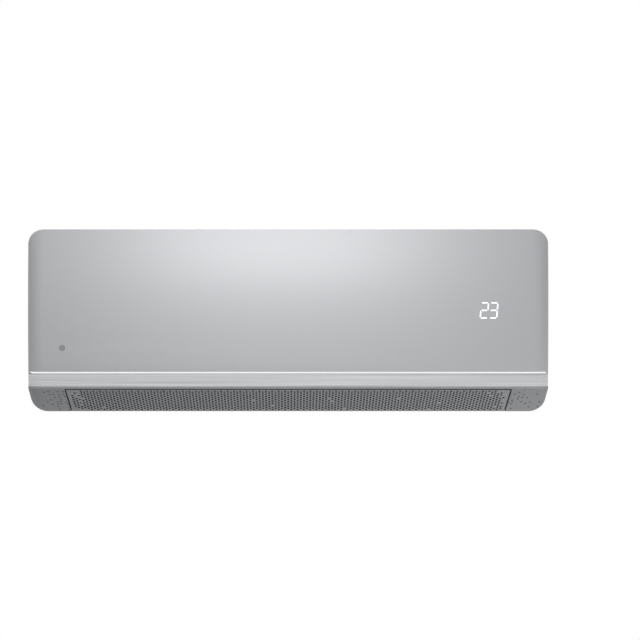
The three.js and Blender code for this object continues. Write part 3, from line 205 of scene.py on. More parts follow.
def joined_mesh(node):
    """The node's corners and triangles, with corners that share a place made one."""
    mesh = frame["nodes"][node].data
    corners = np.empty(len(mesh.vertices) * 3)
    mesh.vertices.foreach_get("co", corners)
    loops = np.empty(len(mesh.loops), np.int64)
    mesh.loops.foreach_get("vertex_index", loops)
    corners = corners.reshape(-1, 3)
    _, first, place = np.unique(np.round(corners * 1e5).astype(np.int64), axis=0, return_index=True,
                                return_inverse=True)
    triangles = place.reshape(-1)[loops].reshape(-1, 3)
    whole = ((triangles[:, 0] != triangles[:, 1]) & (triangles[:, 1] != triangles[:, 2])
             & (triangles[:, 2] != triangles[:, 0]))
    return corners[first], triangles[whole]


def flatten_faces(piece):
    """Triangles that lie in one plane become one face, so that an edge can be rounded evenly."""
    cage = bmesh.new()
    cage.from_mesh(piece.data)
    bmesh.ops.dissolve_limit(cage, angle_limit=np.radians(0.3), verts=cage.verts, edges=cage.edges,
                             delimit={"MATERIAL"})
    cage.to_mesh(piece.data)
    cage.free()


def dressed(node, name, slot, material, angle=34.0, edge=0.0, second=None):
    """The node's own form as a smoothly shaded piece; second is (material, test of face middles)."""
    corners, triangles = joined_mesh(node)
    materials = [material]
    index = None
    if second:
        materials.append(second[0])
        middles = corners[triangles].mean(1)
        sides = np.cross(corners[triangles[:, 1]] - corners[triangles[:, 0]],
                         corners[triangles[:, 2]] - corners[triangles[:, 0]])
        sides /= np.linalg.norm(sides, axis=1, keepdims=True) + 1e-12
        index = second[1](middles, sides).astype(int)
    piece = piece_from(name, corners, triangles, materials, home[node], slot, index)
    flatten_faces(piece)
    shade(piece, angle, edge)
    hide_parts(node)
    return piece


def nudged(piece, chosen, shift):
    """Moves the corners that a test chooses by one small vector."""
    places = np.empty(len(piece.data.vertices) * 3)
    piece.data.vertices.foreach_get("co", places)
    places = places.reshape(-1, 3)
    places[chosen(places)] += shift
    piece.data.vertices.foreach_set("co", places.reshape(-1))


panel_silver = finish_of("sprayed_silver", (0.63, 0.64, 0.655), 0.5, 0.2, "flake_coat", 0.0005, 0.03,
                         0.0002, 0.03)
chamfer_bright = finish_of("bright_cut_edge", (0.95, 0.955, 0.96), 0.3, 1.0, "flake_coat", 0.0005, 0.01,
                           0.00002, 0.005)
PANEL_FOOT = -84 * MM
CHAMFER = 3.2 * MM


def on_chamfer(middles, sides):
    """The bevel: faces in a low band along the panel's foot that look down and out to the room."""
    low = (middles[:, 2] > PANEL_FOOT) & (middles[:, 2] < PANEL_FOOT + CHAMFER)
    return low & (sides[:, 2] < -0.3) & (sides[:, 1] < -0.3)


shell = dressed("front_panel", "front_panel_shell", "silver_paint", panel_silver, 30,
                second=(chamfer_bright, on_chamfer))
SHELL_FRONT = -190 * MM           # the skin's face lies before this depth, but for its turned ends
SHELL_BACK = 0.05 * MM            # room for the lit figures in front of the skin
nudged(shell, lambda places: places[:, 1] < SHELL_FRONT, (0, SHELL_BACK, 0))

# ---------------------------------------------------------------------------
# Receiver window: a small round of grey translucent plastic pressed into the panel and just proud of it,
# where the remote's signal comes in.
# ---------------------------------------------------------------------------

smoked_lens = finish_of("smoked_lens", (0.4, 0.405, 0.415), 0.25, 0.1, "moulded_grain", 0.002, 0.01,
                        0.0001, 0.1, spread=0.03)
dressed("receiver_window", "receiver_lens", "dark_lens", smoked_lens)

# ---------------------------------------------------------------------------
# Temperature digits: two seven-stroke figures of lit segments, as they show through the panel's paint.
# Each stroke is a thin pointed bar lying on the panel's curve.
# ---------------------------------------------------------------------------

FOREMOST = 30 * MM
CASE_DEPTH = 205 * MM
BOW_BOTTOM = 9 * MM
BOW_BOTTOM_REACH = 114 * MM
BOW_TOP = 13 * MM
BOW_TOP_REACH = 120 * MM


def panel_y(z):
    """Depth of the panel's face: the foremost line, plus a parabola above it and another below."""
    above = BOW_TOP * ((z - FOREMOST) / BOW_TOP_REACH) ** 2
    below = BOW_BOTTOM * ((z - FOREMOST) / BOW_BOTTOM_REACH) ** 2
    return -CASE_DEPTH + np.where(z > FOREMOST, above, below)


def turn_outward(piece):
    """Turns each face so that its normal points out of the solid that it bounds."""
    cage = bmesh.new()
    cage.from_mesh(piece.data)
    bmesh.ops.recalc_face_normals(cage, faces=cage.faces)
    cage.to_mesh(piece.data)
    cage.free()


lit_digit = bpy.data.materials.new("lit_segment")
lit_digit.use_nodes = True
glow_tree = lit_digit.node_tree
glow = glow_tree.nodes["Principled BSDF"]
glow_place = put(glow_tree, "ShaderNodeTexCoord").outputs["Object"]
glow_noise = put(glow_tree, "ShaderNodeTexNoise", {"Vector": glow_place, "Scale": 700.0})
glow_ramp = put(glow_tree, "ShaderNodeMix", {"Factor": glow_noise.outputs["Fac"], "A": (0.93, 0.96, 1, 1),
                                             "B": (1, 1, 1, 1)}, data_type="RGBA")
glow_tree.links.new(glow_ramp.outputs["Result"], glow.inputs["Base Color"])
glow_tree.links.new(glow_ramp.outputs["Result"], glow.inputs["Emission Color"])
glow.inputs["Emission Strength"].default_value = 0.9
glow.inputs["Roughness"].default_value = 0.5

DIGITS_X = 323.6 * MM
DIGITS_Z = 18.4 * MM
DIGIT_WIDE = 11.7 * MM            # between the middles of the upright strokes
DIGIT_HIGH = 24.4 * MM
DIGIT_PITCH = 14.9 * MM
STROKE = 2.0 * MM
STROKE_GAP = 0.85 * MM
STROKE_FACE = 0.01 * MM           # behind the panel's own line, so just in front of the skin
STROKE_THICK = 0.2 * MM
SLANT = 0.07
half_w, half_h = DIGIT_WIDE / 2, DIGIT_HIGH / 2
strokes = {
    "top": ((-half_w, half_h), (half_w, half_h)),
    "middle": ((-half_w, 0), (half_w, 0)),
    "foot": ((-half_w, -half_h), (half_w, -half_h)),
    "upper right": ((half_w, half_h), (half_w, 0)),
    "lower right": ((half_w, 0), (half_w, -half_h)),
    "lower left": ((-half_w, 0), (-half_w, -half_h)),
}
digits = (("top", "upper right", "middle", "lower left", "foot"),
          ("top", "upper right", "middle", "lower right", "foot"))
stroke_corners, stroke_faces = [], []
for number, lit in enumerate(digits):
    for key in lit:
        a, b = (np.array(p) for p in strokes[key])
        along = (b - a) / np.linalg.norm(b - a)
        across = np.array([-along[1], along[0]]) * STROKE / 2
        a, b = a + along * STROKE_GAP, b - along * STROKE_GAP
        tip = along * STROKE / 2
        ring = np.array([a, a + tip + across, b - tip + across, b, b - tip - across, a + tip - across])
        x = DIGITS_X + (number - 0.5) * DIGIT_PITCH + ring[:, 0] + SLANT * ring[:, 1]
        z = DIGITS_Z + ring[:, 1]
        front = np.stack([x, panel_y(z) + STROKE_FACE, z], 1)
        back = front + (0, STROKE_THICK, 0)
        count = len(ring)
        near = 2 * count * len(stroke_corners) + np.arange(count)
        away = near + count
        stroke_corners.append(np.concatenate([front, back]))
        stroke_faces += [near, away[::-1]]
        stroke_faces += list(np.stack([near, away, np.roll(away, -1), np.roll(near, -1)], 1))
digit_piece = piece_from("temperature_digits", np.concatenate(stroke_corners), stroke_faces, [lit_digit],
                         "front_panel", "dark_lens")
turn_outward(digit_piece)

# ---------------------------------------------------------------------------
# Trim strip: thin sheet, brushed along its length and bent round the case ends, clipped in a recess
# of the cabinet below the panel.
# ---------------------------------------------------------------------------


def drawn_lines(tree, position, rate):
    """Long scratches along X: noise squeezed across the other two directions."""
    squeeze = put(tree, "ShaderNodeVectorMath", {0: position, 1: (0.004, 0.02, 1)}, operation="MULTIPLY")
    lines = put(tree, "ShaderNodeTexNoise", {"Vector": squeeze.outputs[0], "Scale": rate, "Detail": 4.0,
                                             "Roughness": 0.65})
    broad = put(tree, "ShaderNodeMapRange", {"Value": lines.outputs["Fac"], "From Min": 0.3,
                                             "From Max": 0.7})
    return lines.outputs["Fac"], broad.outputs[0]


effects["drawn_lines"] = surface_effect("drawn_lines", drawn_lines)
brushed_silver = finish_of("brushed_silver", (0.68, 0.69, 0.7), 0.34, 0.5, "drawn_lines", 0.0012, 0.15,
                           0.0001, 0.22)
band = dressed("trim_strip", "brushed_trim_band", "brushed_trim", brushed_silver, 30)
TRIM_TOP = -85.6 * MM
TRIM_RISE = 0.9 * MM              # brings the sheet's top edge close below the panel
SAME_LEVEL = 0.1 * MM             # corners closer than this count as level
nudged(band, lambda places: places[:, 2] > TRIM_TOP - SAME_LEVEL, (0, 0, TRIM_RISE))

# ---------------------------------------------------------------------------
# Louvre: one long moulded flap below the trim. Its outer skin is pierced by staggered columns of small
# blind holes; some are missing, and the columns thin out towards both ends.
# ---------------------------------------------------------------------------

LOUVRE_PIVOT = np.array([0, -128.8921, -143.5]) * MM
LOUVRE_SLOPE = np.radians(35)
LOUVRE_FACE = -6.5 * MM           # outer face below the pivot, square to the slope
LOUVRE_REACH = 66.09 * MM
LOUVRE_HALF = 361.8 * MM
BARREL_EDGE = -0.9 * MM           # the flap's flat face ends here, at its barrel
SKIN = 0.7 * MM
SKIN_GAP = 0.02 * MM              # between the skin and the flap behind it
SKIN_SHIFT = 0.4 * MM             # middle of the skin, up the slope from the middle of the flap
HOLE_DEPTH = 0.62 * MM
HOLE_RADIUS = 2.02 * MM
HOLE_TAPER = 0.86                 # a hole's floor to its rim
COLUMN_PITCH = 5.1 * MM
HOLE_PITCH = 5.8 * MM
HOLES_PER_COLUMN = 11
FADE_COLUMNS = 7                  # columns at each end with many holes missing
MISSING_AT_END = 0.4              # share of holes missing there, less MISSING_STEP for each column
MISSING_STEP = 0.055
MISSING_ELSEWHERE = 0.012
WELD = 0.01 * MM                  # corners closer than this become one
ORDER_SLANT = Vector((1, 2 ** 0.5, 3 ** 0.5))   # a direction along which no two places are level

louvre_grey = finish_of("louvre_grey", (0.34, 0.345, 0.355), 0.5, 0.1, "moulded_grain", 0.0007, 0.08)
hole_shadow = finish_of("hole_shadow", (0.012, 0.012, 0.013), 0.9, 0.0, "moulded_grain", 0.0007, 0.05)


def from_slope(x, s, n):
    """Places from x along the unit, s down the slope and n square to it: measured from the pivot, y is
    s cos + n sin and z is n cos - s sin of the slope."""
    c, d = np.cos(LOUVRE_SLOPE), np.sin(LOUVRE_SLOPE)
    return np.stack([x, LOUVRE_PIVOT[1] + s * c + n * d, LOUVRE_PIVOT[2] - s * d + n * c], -1)


def to_slope(points):
    """The way back from places to x, s and n: s is y cos - z sin and n is y sin + z cos of the slope."""
    c, d = np.cos(LOUVRE_SLOPE), np.sin(LOUVRE_SLOPE)
    y, z = points[:, 1] - LOUVRE_PIVOT[1], points[:, 2] - LOUVRE_PIVOT[2]
    return points[:, 0], y * c - z * d, y * d + z * c


flap_corners, flap_triangles = joined_mesh("louvre")
x, s, n = to_slope(flap_corners)
outer = (n < LOUVRE_FACE + SKIN_GAP) & (s < BARREL_EDGE)
flap_corners = from_slope(x, s, np.where(outer, n + SKIN + SKIN_GAP, n))
louvre_body = piece_from("louvre_flap", flap_corners, flap_triangles, [louvre_grey], "louvre",
                         "grey_plastic")
flatten_faces(louvre_body)
shade(louvre_body, 34)
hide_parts("louvre")


def pierced_skin():
    """A plate of square cells. Each cell joins its eight outline points to a ring of eight round a hole,
    then to a smaller ring at the hole's floor. Odd columns are moved by half a cell, and a plain half
    cell fills them up at each end."""
    rng = np.random.default_rng(7)
    columns = int(2 * LOUVRE_HALF / COLUMN_PITCH) // 2 * 2 - 1
    pitch_x = 2 * LOUVRE_HALF / columns
    rows = HOLES_PER_COLUMN
    middle_s = -LOUVRE_REACH / 2 - SKIN_SHIFT
    square = np.array([(-1, -1), (0, -1), (1, -1), (1, 0), (1, 1), (0, 1), (-1, 1), (-1, 0)]) / 2
    circle = square / np.linalg.norm(square, axis=1, keepdims=True)
    column = np.arange(columns)
    places = [(c, r - (rows - 1) / 2 + (0.5 if c % 2 else 0), 1.0) for c in column
              for r in range(rows - (c % 2))]
    places += [(c, e * (rows / 2 - 0.25), 0.5) for c in column[1::2] for e in (-1, 1)]
    places = np.array(places)
    cx = (places[:, 0] - (columns - 1) / 2) * pitch_x
    cs = middle_s + places[:, 1] * HOLE_PITCH
    full = places[:, 2] == 1
    from_end = np.minimum(places[:, 0], columns - 1 - places[:, 0])
    missing = np.where(from_end < FADE_COLUMNS, MISSING_AT_END - MISSING_STEP * from_end,
                       MISSING_ELSEWHERE)
    missing = np.where(from_end < 1, 1.0, missing)
    pierced = full & (rng.random(len(places)) > missing)
    corners, faces, index = [], [], []
    around = np.arange(8)
    after = (around + 1) % 8

    def hole_rings(sel, level, radius):
        """Eight points round each chosen hole's middle, all at one level square to the slope."""
        px = cx[sel, None] + radius * circle[None, :, 0]
        ps = cs[sel, None] + radius * circle[None, :, 1]
        return from_slope(px, ps, np.full_like(px, level)).reshape(-1, 3)

    spread = square * (pitch_x, HOLE_PITCH)
    px = cx[:, None] + spread[None, :, 0]
    ps = cs[:, None] + spread[None, :, 1] * places[:, 2, None]
    outer_ring = from_slope(px, ps, np.full_like(px, LOUVRE_FACE)).reshape(-1, 3)
    corners.append(outer_ring)
    start = len(outer_ring)
    sel = np.flatnonzero(pierced)
    count = len(sel)
    for level, radius in ((LOUVRE_FACE, HOLE_RADIUS), (LOUVRE_FACE + HOLE_DEPTH, HOLE_RADIUS * HOLE_TAPER)):
        corners.append(hole_rings(sel, level, radius))
    edge = sel[:, None] * 8
    rim = start + np.arange(count)[:, None] * 8
    floor = rim + count * 8
    faces.append(np.stack([edge + around, edge + after, rim + after, rim + around], -1).reshape(-1, 4))
    index.append(np.zeros(count * 8))
    faces.append(np.stack([rim + around, rim + after, floor + after, floor + around], -1).reshape(-1, 4))
    index.append(np.ones(count * 8))
    quads = np.concatenate(faces).tolist()
    bottoms = (floor + around).tolist()
    plain = (np.flatnonzero(~pierced)[:, None] * 8 + around).tolist()
    index = np.concatenate(index + [np.ones(len(bottoms)), np.zeros(len(plain))])
    return np.concatenate(corners), quads + bottoms + plain, index


skin_corners, skin_faces, skin_index = pierced_skin()
skin = piece_from("louvre_pierced_skin", skin_corners, skin_faces, [louvre_grey, hole_shadow], "louvre",
                  "grey_plastic", skin_index)
cage = bmesh.new()
cage.from_mesh(skin.data)
bmesh.ops.remove_doubles(cage, verts=cage.verts, dist=WELD)
rim_edges = [e for e in cage.edges if e.is_boundary]
grown = bmesh.ops.extrude_edge_only(cage, edges=rim_edges)
new_corners = [g for g in grown["geom"] if isinstance(g, bmesh.types.BMVert)]
inward = Vector((0, np.sin(LOUVRE_SLOPE), np.cos(LOUVRE_SLOPE))) * SKIN
bmesh.ops.translate(cage, verts=new_corners, vec=inward)
# The rim's new parts are numbered differently in each run, so all are put in the order of their places
for parts, place in ((cage.verts, lambda corner: corner.co),
                     (cage.edges, lambda edge: edge.verts[0].co + edge.verts[1].co),
                     (cage.faces, lambda face: face.calc_center_median())):
    parts.sort(key=lambda part: place(part).dot(ORDER_SLANT))
bmesh.ops.holes_fill(cage, edges=[e for e in cage.edges if e.is_boundary], sides=0)
bmesh.ops.recalc_face_normals(cage, faces=cage.faces)
cage.to_mesh(skin.data)
cage.free()

# ---------------------------------------------------------------------------
# Cabinet: the moulded frame behind the panel, in mid grey with a matt texture. Its lower front corners,
# beside the louvre, carry sparse shallow dimples that fade out towards the case corners. Each dimple is
# bumped and also painted darker inside, as painted shade.
# ---------------------------------------------------------------------------

cabinet_grey = finish_of("cabinet_grey", (0.34, 0.345, 0.355), 0.48, 0.1, "moulded_grain", 0.0009, 0.08,
                         dust=0.25)
# a lighter, glossier copy of the cabinet grey for the lip's front faces: painted light
lip_painted_light_grey = finish_of("lip_painted_light_grey", (0.4, 0.405, 0.415), 0.42, 0.3, "moulded_grain", 0.0009, 0.05)
LIP_TOP = -104.5 * MM
LIP_FOOT = -110.5 * MM
LIP_EDGE = -110 * MM              # level of the lip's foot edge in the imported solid
LIP_FRONT = -186 * MM
LIP_CORNERS = 390 * MM            # past this, the edge runs back round the case's ends
LIP_SHIFT = (0, -1.28 * MM, 1.6 * MM)   # out to the room and up
DIMPLES_PER_METRE = 130.0
DIMPLE_RIM = (0.2, 0.3)           # of a cell: all dent inside the first, none past the second
DIMPLE_DEPTH = 0.5 * MM
# share of near black mixed into a dent's colour: painted shade in the dents
DIMPLE_PAINTED_SHADE = 0.65
DIMPLES_FROM = 365.5 * MM         # beside the louvre's seam
DIMPLES_TO = 422.5 * MM           # just short of the flat end wall
DIMPLES_REAR = -120 * MM
DIMPLE_FADE = (366 * MM, 415 * MM)
DIMPLE_SHARE = (0.85, 0.1)        # of the cells, at either end of the fade


def add_dimples(material):
    """Round dents laid out along X and down the louvre's slope, only on the lower front corners. Each is a
    bump with near black mixed into its colour, as painted shade in the dent.
    """
    tree = material.node_tree
    place = put(tree, "ShaderNodeTexCoord").outputs["Object"]
    at = put(tree, "ShaderNodeSeparateXYZ", {0: place})
    slope = (0, np.cos(LOUVRE_SLOPE), -np.sin(LOUVRE_SLOPE))
    down = put(tree, "ShaderNodeVectorMath", {0: place, 1: slope}, operation="DOT_PRODUCT")
    sheet = put(tree, "ShaderNodeCombineXYZ", {0: at.outputs["X"], 1: down.outputs["Value"]})
    cells = put(tree, "ShaderNodeTexVoronoi", {"Vector": sheet.outputs[0], "Scale": DIMPLES_PER_METRE,
                                               "Randomness": 0.55}, voronoi_dimensions="2D")
    split = put(tree, "ShaderNodeSeparateColor", {"Color": cells.outputs["Color"]})
    out = put(tree, "ShaderNodeMath", {0: at.outputs["X"]}, operation="ABSOLUTE")
    share = put(tree, "ShaderNodeMapRange", {
        "Value": out.outputs[0], "From Min": DIMPLE_FADE[0], "From Max": DIMPLE_FADE[1],
        "To Min": DIMPLE_SHARE[0], "To Max": DIMPLE_SHARE[1]})
    kept = put(tree, "ShaderNodeMath", {0: split.outputs["Red"], 1: share.outputs[0]},
               operation="LESS_THAN")
    dent = put(tree, "ShaderNodeMapRange", {
        "Value": cells.outputs["Distance"], "From Min": DIMPLE_RIM[0], "From Max": DIMPLE_RIM[1],
        "To Min": 1.0, "To Max": 0.0})
    low = put(tree, "ShaderNodeMath", {0: at.outputs["Z"], 1: LIP_FOOT}, operation="LESS_THAN")
    outside = put(tree, "ShaderNodeMath", {0: out.outputs[0], 1: DIMPLES_FROM}, operation="GREATER_THAN")
    off_wall = put(tree, "ShaderNodeMath", {0: out.outputs[0], 1: DIMPLES_TO}, operation="LESS_THAN")
    front = put(tree, "ShaderNodeMath", {0: at.outputs["Y"], 1: DIMPLES_REAR}, operation="LESS_THAN")
    mask = kept.outputs[0]
    for other in (dent.outputs[0], outside.outputs[0], off_wall.outputs[0], low.outputs[0],
                  front.outputs[0]):
        mask = put(tree, "ShaderNodeMath", {0: mask, 1: other}, operation="MULTIPLY").outputs[0]
    shader = tree.nodes["Principled BSDF"]
    colour = shader.inputs["Base Color"].links[0].from_socket
    # near black mixed into each dent: painted shade
    dent_shade = put(tree, "ShaderNodeMath", {0: mask, 1: DIMPLE_PAINTED_SHADE}, operation="MULTIPLY")
    mixed = put(tree, "ShaderNodeMix", {"Factor": dent_shade.outputs[0], "A": colour,
                                        "B": (0.03, 0.03, 0.032, 1)}, data_type="RGBA")
    tree.links.new(mixed.outputs["Result"], shader.inputs["Base Color"])
    height = put(tree, "ShaderNodeMath", {0: 1.0, 1: mask}, operation="SUBTRACT")
    bump = put(tree, "ShaderNodeBump", {"Height": height.outputs[0], "Strength": 0.5,
                                        "Distance": DIMPLE_DEPTH,
                                        "Normal": shader.inputs["Normal"].links[0].from_socket})
    tree.links.new(bump.outputs["Normal"], shader.inputs["Normal"])


add_dimples(cabinet_grey)


def on_lip(middles, sides):
    """The lip: faces that look out to the room in the narrow band between trim and louvre. They get a
    lighter, glossier copy of the cabinet grey, as painted light.
    """
    return (middles[:, 2] < LIP_TOP) & (middles[:, 2] > LIP_FOOT) & (sides[:, 1] < -0.7)


def lip_foot_edge(places):
    """Corners level with the lip's foot edge that are near the front or near a case end."""
    level = np.abs(places[:, 2] - LIP_EDGE) < SAME_LEVEL
    return level & ((places[:, 1] < LIP_FRONT) | (np.abs(places[:, 0]) > LIP_CORNERS))


case = dressed("cabinet", "cabinet_shell", "grey_plastic", cabinet_grey, 30, second=(lip_painted_light_grey, on_lip))
nudged(case, lip_foot_edge, LIP_SHIFT)

# ---------------------------------------------------------------------------
# Top grille: a dark moulded grid clipped under the edge of the intake opening. Room air is drawn in
# through it, and dust settles on its bars.
# ---------------------------------------------------------------------------

grille_dark = finish_of("grille_dark", (0.052, 0.055, 0.06), 0.55, 0, "moulded_grain", 0.0009, 0.08,
                        dust=0.8)
dressed("top_grille", "intake_grid", "dark_plastic", grille_dark, 30)

# ---------------------------------------------------------------------------
# Filters: two L-shaped frames of moulded ribs with a woven nylon mesh. Each lies over the grille, hangs
# down behind the panel and is pulled up out of the top.
# ---------------------------------------------------------------------------

RIB = 2.5 * MM
THREAD = 0.28 * MM
THREAD_PITCH = 1.5 * MM
MESH_INSET = 0.5 * MM             # of the mesh behind the frame's outer faces
RIB_COLUMNS = 4
RIB_ROWS = 4
FILTER_THICK = 2.3 * MM
filter_blue = finish_of("filter_blue", (0.075, 0.115, 0.155), 0.55, 0, "moulded_grain", 0.0008, 0.08,
                        dust=0.3)
filter_mesh_grey = finish_of("filter_mesh_grey", (0.16, 0.19, 0.22), 0.6, 0, "moulded_grain", 0.0006,
                             0.05, dust=0.5)
BOX_FACES = np.array([(0, 2, 3, 1), (4, 5, 7, 6), (0, 1, 5, 4), (2, 6, 7, 3), (0, 4, 6, 2), (1, 3, 7, 5)])
BOX_SIDES = np.array([(i >> 2 & 1, i >> 1 & 1, i & 1) for i in range(8)])


def bars(low, high):
    """Corners and faces of many bars at once: each bar runs from its low corner to its high corner."""
    low, high = np.atleast_2d(low), np.atleast_2d(high)
    corners = low[:, None] + (high - low)[:, None] * BOX_SIDES[None]
    faces = np.arange(len(low))[:, None, None] * 8 + BOX_FACES[None]
    return corners.reshape(-1, 3), faces.reshape(-1, 4)


def rows_of(x, y, z):
    """Rows of x, y and z, where a single number stands for a whole column of it."""
    return np.stack(np.broadcast_arrays(x, y, z), 1)


for side in ("left", "right"):
    node = f"filter_{side}"
    (x0, y0, z0), (x1, y1, z1) = (np.array(corner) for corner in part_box(node))
    low_z = z1 - FILTER_THICK
    back_y = y0 + FILTER_THICK
    ribs = np.linspace(x0, x1 - RIB, RIB_COLUMNS + 1)
    rungs = np.linspace(z0, low_z - RIB, RIB_ROWS + 1)
    shelves = np.linspace(back_y, y1, RIB_ROWS + 1)[1:] - RIB
    low = [(x, y0, z0) for x in ribs] + [(x, y0, low_z) for x in ribs]
    high = [(x + RIB, back_y, low_z) for x in ribs] + [(x + RIB, y1, z1) for x in ribs]
    low += [(x0, y0, z) for z in rungs] + [(x0, y, low_z) for y in shelves]
    high += [(x1, back_y, z + RIB) for z in rungs] + [(x1, y + RIB, z1) for y in shelves]
    low.append((x0, y0, low_z))
    high.append((x1, back_y, z1))
    frame_piece = piece_from(f"filter_frame_{side}", *bars(low, high), [filter_blue], node,
                             "filter_plastic")
    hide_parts(node)
    upright = np.arange(x0 + THREAD_PITCH, x1, THREAD_PITCH)
    level = np.arange(z0 + THREAD_PITCH, low_z, THREAD_PITCH)
    deep = np.arange(back_y + THREAD_PITCH, y1, THREAD_PITCH)
    sheet_y, sheet_z = y0 + MESH_INSET, z1 - MESH_INSET
    low = np.concatenate([
        rows_of(upright, sheet_y, z0), rows_of(upright, sheet_y, sheet_z - THREAD),
        rows_of(x0, sheet_y, level), rows_of(x0, deep, sheet_z - THREAD)])
    high = np.concatenate([
        rows_of(upright + THREAD, sheet_y + THREAD, sheet_z), rows_of(upright + THREAD, y1, sheet_z),
        rows_of(x1, sheet_y + THREAD, level + THREAD), rows_of(x1, deep + THREAD, sheet_z)])
    piece_from(f"filter_weave_{side}", *bars(low, high), [filter_mesh_grey], node, "filter_plastic")

# ---------------------------------------------------------------------------
# Wall plate: pressed galvanised sheet with folded edges, screwed to the wall. The unit hangs on its two
# hooks.
# ---------------------------------------------------------------------------


def zinc_spangle(tree, position, rate):
    """Crystals of hot-dipped zinc: Voronoi cells with a random tone each, and faint borders."""
    cells = put(tree, "ShaderNodeTexVoronoi", {"Vector": position, "Scale": rate})
    split = put(tree, "ShaderNodeSeparateColor", {"Color": cells.outputs["Color"]})
    return cells.outputs["Distance"], split.outputs["Green"]


effects["zinc_spangle"] = surface_effect("zinc_spangle", zinc_spangle)
galvanised = finish_of("galvanised_sheet", (0.5, 0.51, 0.52), 0.42, 0.75, "zinc_spangle", 0.006, 0.03,
                       0.0001, 0.14, spread=0.1)
dressed("wall_plate", "pressed_wall_plate", "galvanised_steel", galvanised, 30)

# ---------------------------------------------------------------------------
# Chassis: one dark moulding with the back wall, the fan's scroll, the duct ends and the motor saddle. It
# carries the inner pieces.
# ---------------------------------------------------------------------------

chassis_dark = finish_of("chassis_dark", (0.06, 0.063, 0.068), 0.52, 0, "moulded_grain", 0.001, 0.1,
                         dust=0.3)
dressed("chassis", "chassis_moulding", "dark_plastic", chassis_dark, 30)

# ---------------------------------------------------------------------------
# Drain pan and spigot: a pale moulded trough below the front coil that also roofs the outlet, with a
# ribbed rubber outlet for the condensate.
# ---------------------------------------------------------------------------

pan_white = finish_of("pan_white", (0.62, 0.625, 0.615), 0.5, 0, "moulded_grain", 0.0012, 0.1, dust=0.15)
rubber_black = finish_of("rubber_black", (0.022, 0.022, 0.023), 0.75, 0, "moulded_grain", 0.0006, 0.15)
dressed("drain_pan", "drain_pan_moulding", "white_plastic", pan_white, 30)
dressed("drain_spigot", "drain_hose_spigot", "rubber", rubber_black, 40)

# ---------------------------------------------------------------------------
# Evaporator: aluminium fins pressed on rows of copper tube, between two sheet plates; the tubes turn
# back in hairpins outside the plates.
# ---------------------------------------------------------------------------

COIL_LEFT = -385 * MM
COIL_RIGHT = 290 * MM
COIL_DEEP = 24 * MM
FIN_PITCH = 1.8 * MM
FIN_THICK = 0.28 * MM
TUBE = 3.5 * MM
TUBE_TURN = 10.5 * MM             # half the distance between a hairpin's two holes
TUBE_ROW = 5.5 * MM               # each row of tubes to the block's middle
BEND_START = 1.6 * MM             # outside the fins, on the end plate's outer face
BEND_REACH = 8 * MM
BEND_STEPS = 12
BEND_SIDES = 10
coil_blocks = {
    "evaporator_front_lower": (-157 * MM, -11 * MM, 90 * MM, 0.0, (-33, 12)),
    "evaporator_front_upper": (-134 * MM, 78 * MM, 77 * MM, -28.0, (-17, 17)),
    "evaporator_rear": (-71.5 * MM, 77 * MM, 81.6 * MM, 30.92, (-31, 22)),
}
fin_metal = finish_of("fin_aluminium", (0.62, 0.64, 0.65), 0.35, 0.85, "drawn_lines", 0.002, 0.1,
                      0.0001, 0.1, dust=0.2)
copper_tube = finish_of("copper_tube", (0.55, 0.27, 0.17), 0.34, 0.9, "drawn_lines", 0.002, 0.08, 0.0001,
                        0.16)


def turned(points, y, z, degrees):
    """Points given about a block's middle, tilted about X and moved to their place."""
    c, d = np.cos(np.radians(degrees)), np.sin(np.radians(degrees))
    return np.stack([points[:, 0], y + points[:, 1] * c - points[:, 2] * d,
                     z + points[:, 1] * d + points[:, 2] * c], 1)


def hairpin(x, reach, z_middle, y_local):
    """A tube swept round half an oval from one hole to the next, its section square to the path."""
    turn = np.linspace(0, np.pi, BEND_STEPS + 1)
    path = np.stack([x + reach * np.sin(turn), np.full_like(turn, y_local),
                     z_middle - TUBE_TURN * np.cos(turn)], 1)
    along = np.stack([reach * np.cos(turn), 0 * turn, TUBE_TURN * np.sin(turn)], 1)
    along /= np.linalg.norm(along, axis=1, keepdims=True)
    across = np.cross(along, (0, 1, 0))
    angle = np.linspace(0, 2 * np.pi, BEND_SIDES, endpoint=False)
    ring = (across[:, None] * np.cos(angle)[None, :, None]
            + np.array([0, 1, 0])[None, None] * np.sin(angle)[None, :, None])
    return (path[:, None] + TUBE * ring).reshape(-1, 3)


def band_faces(rings, sides, first, bands):
    """Quads from each ring of corners to the next, for so many bands; past the last ring comes the first."""
    i, j = np.meshgrid(np.arange(bands), np.arange(sides), indexing="ij")
    a, b = i * sides + j, i * sides + (j + 1) % sides
    total = rings * sides
    quads = np.stack([a, b, (b + sides) % total, (a + sides) % total], -1).reshape(-1, 4)
    return (quads + first).tolist()


def swept_faces(rings, sides, first):
    """A band of quads between each two neighbouring rings, and one face over each end."""
    ends = [first + np.arange(sides)[::-1], first + (rings - 1) * sides + np.arange(sides)]
    return band_faces(rings, sides, first, rings - 1) + [end.tolist() for end in ends]


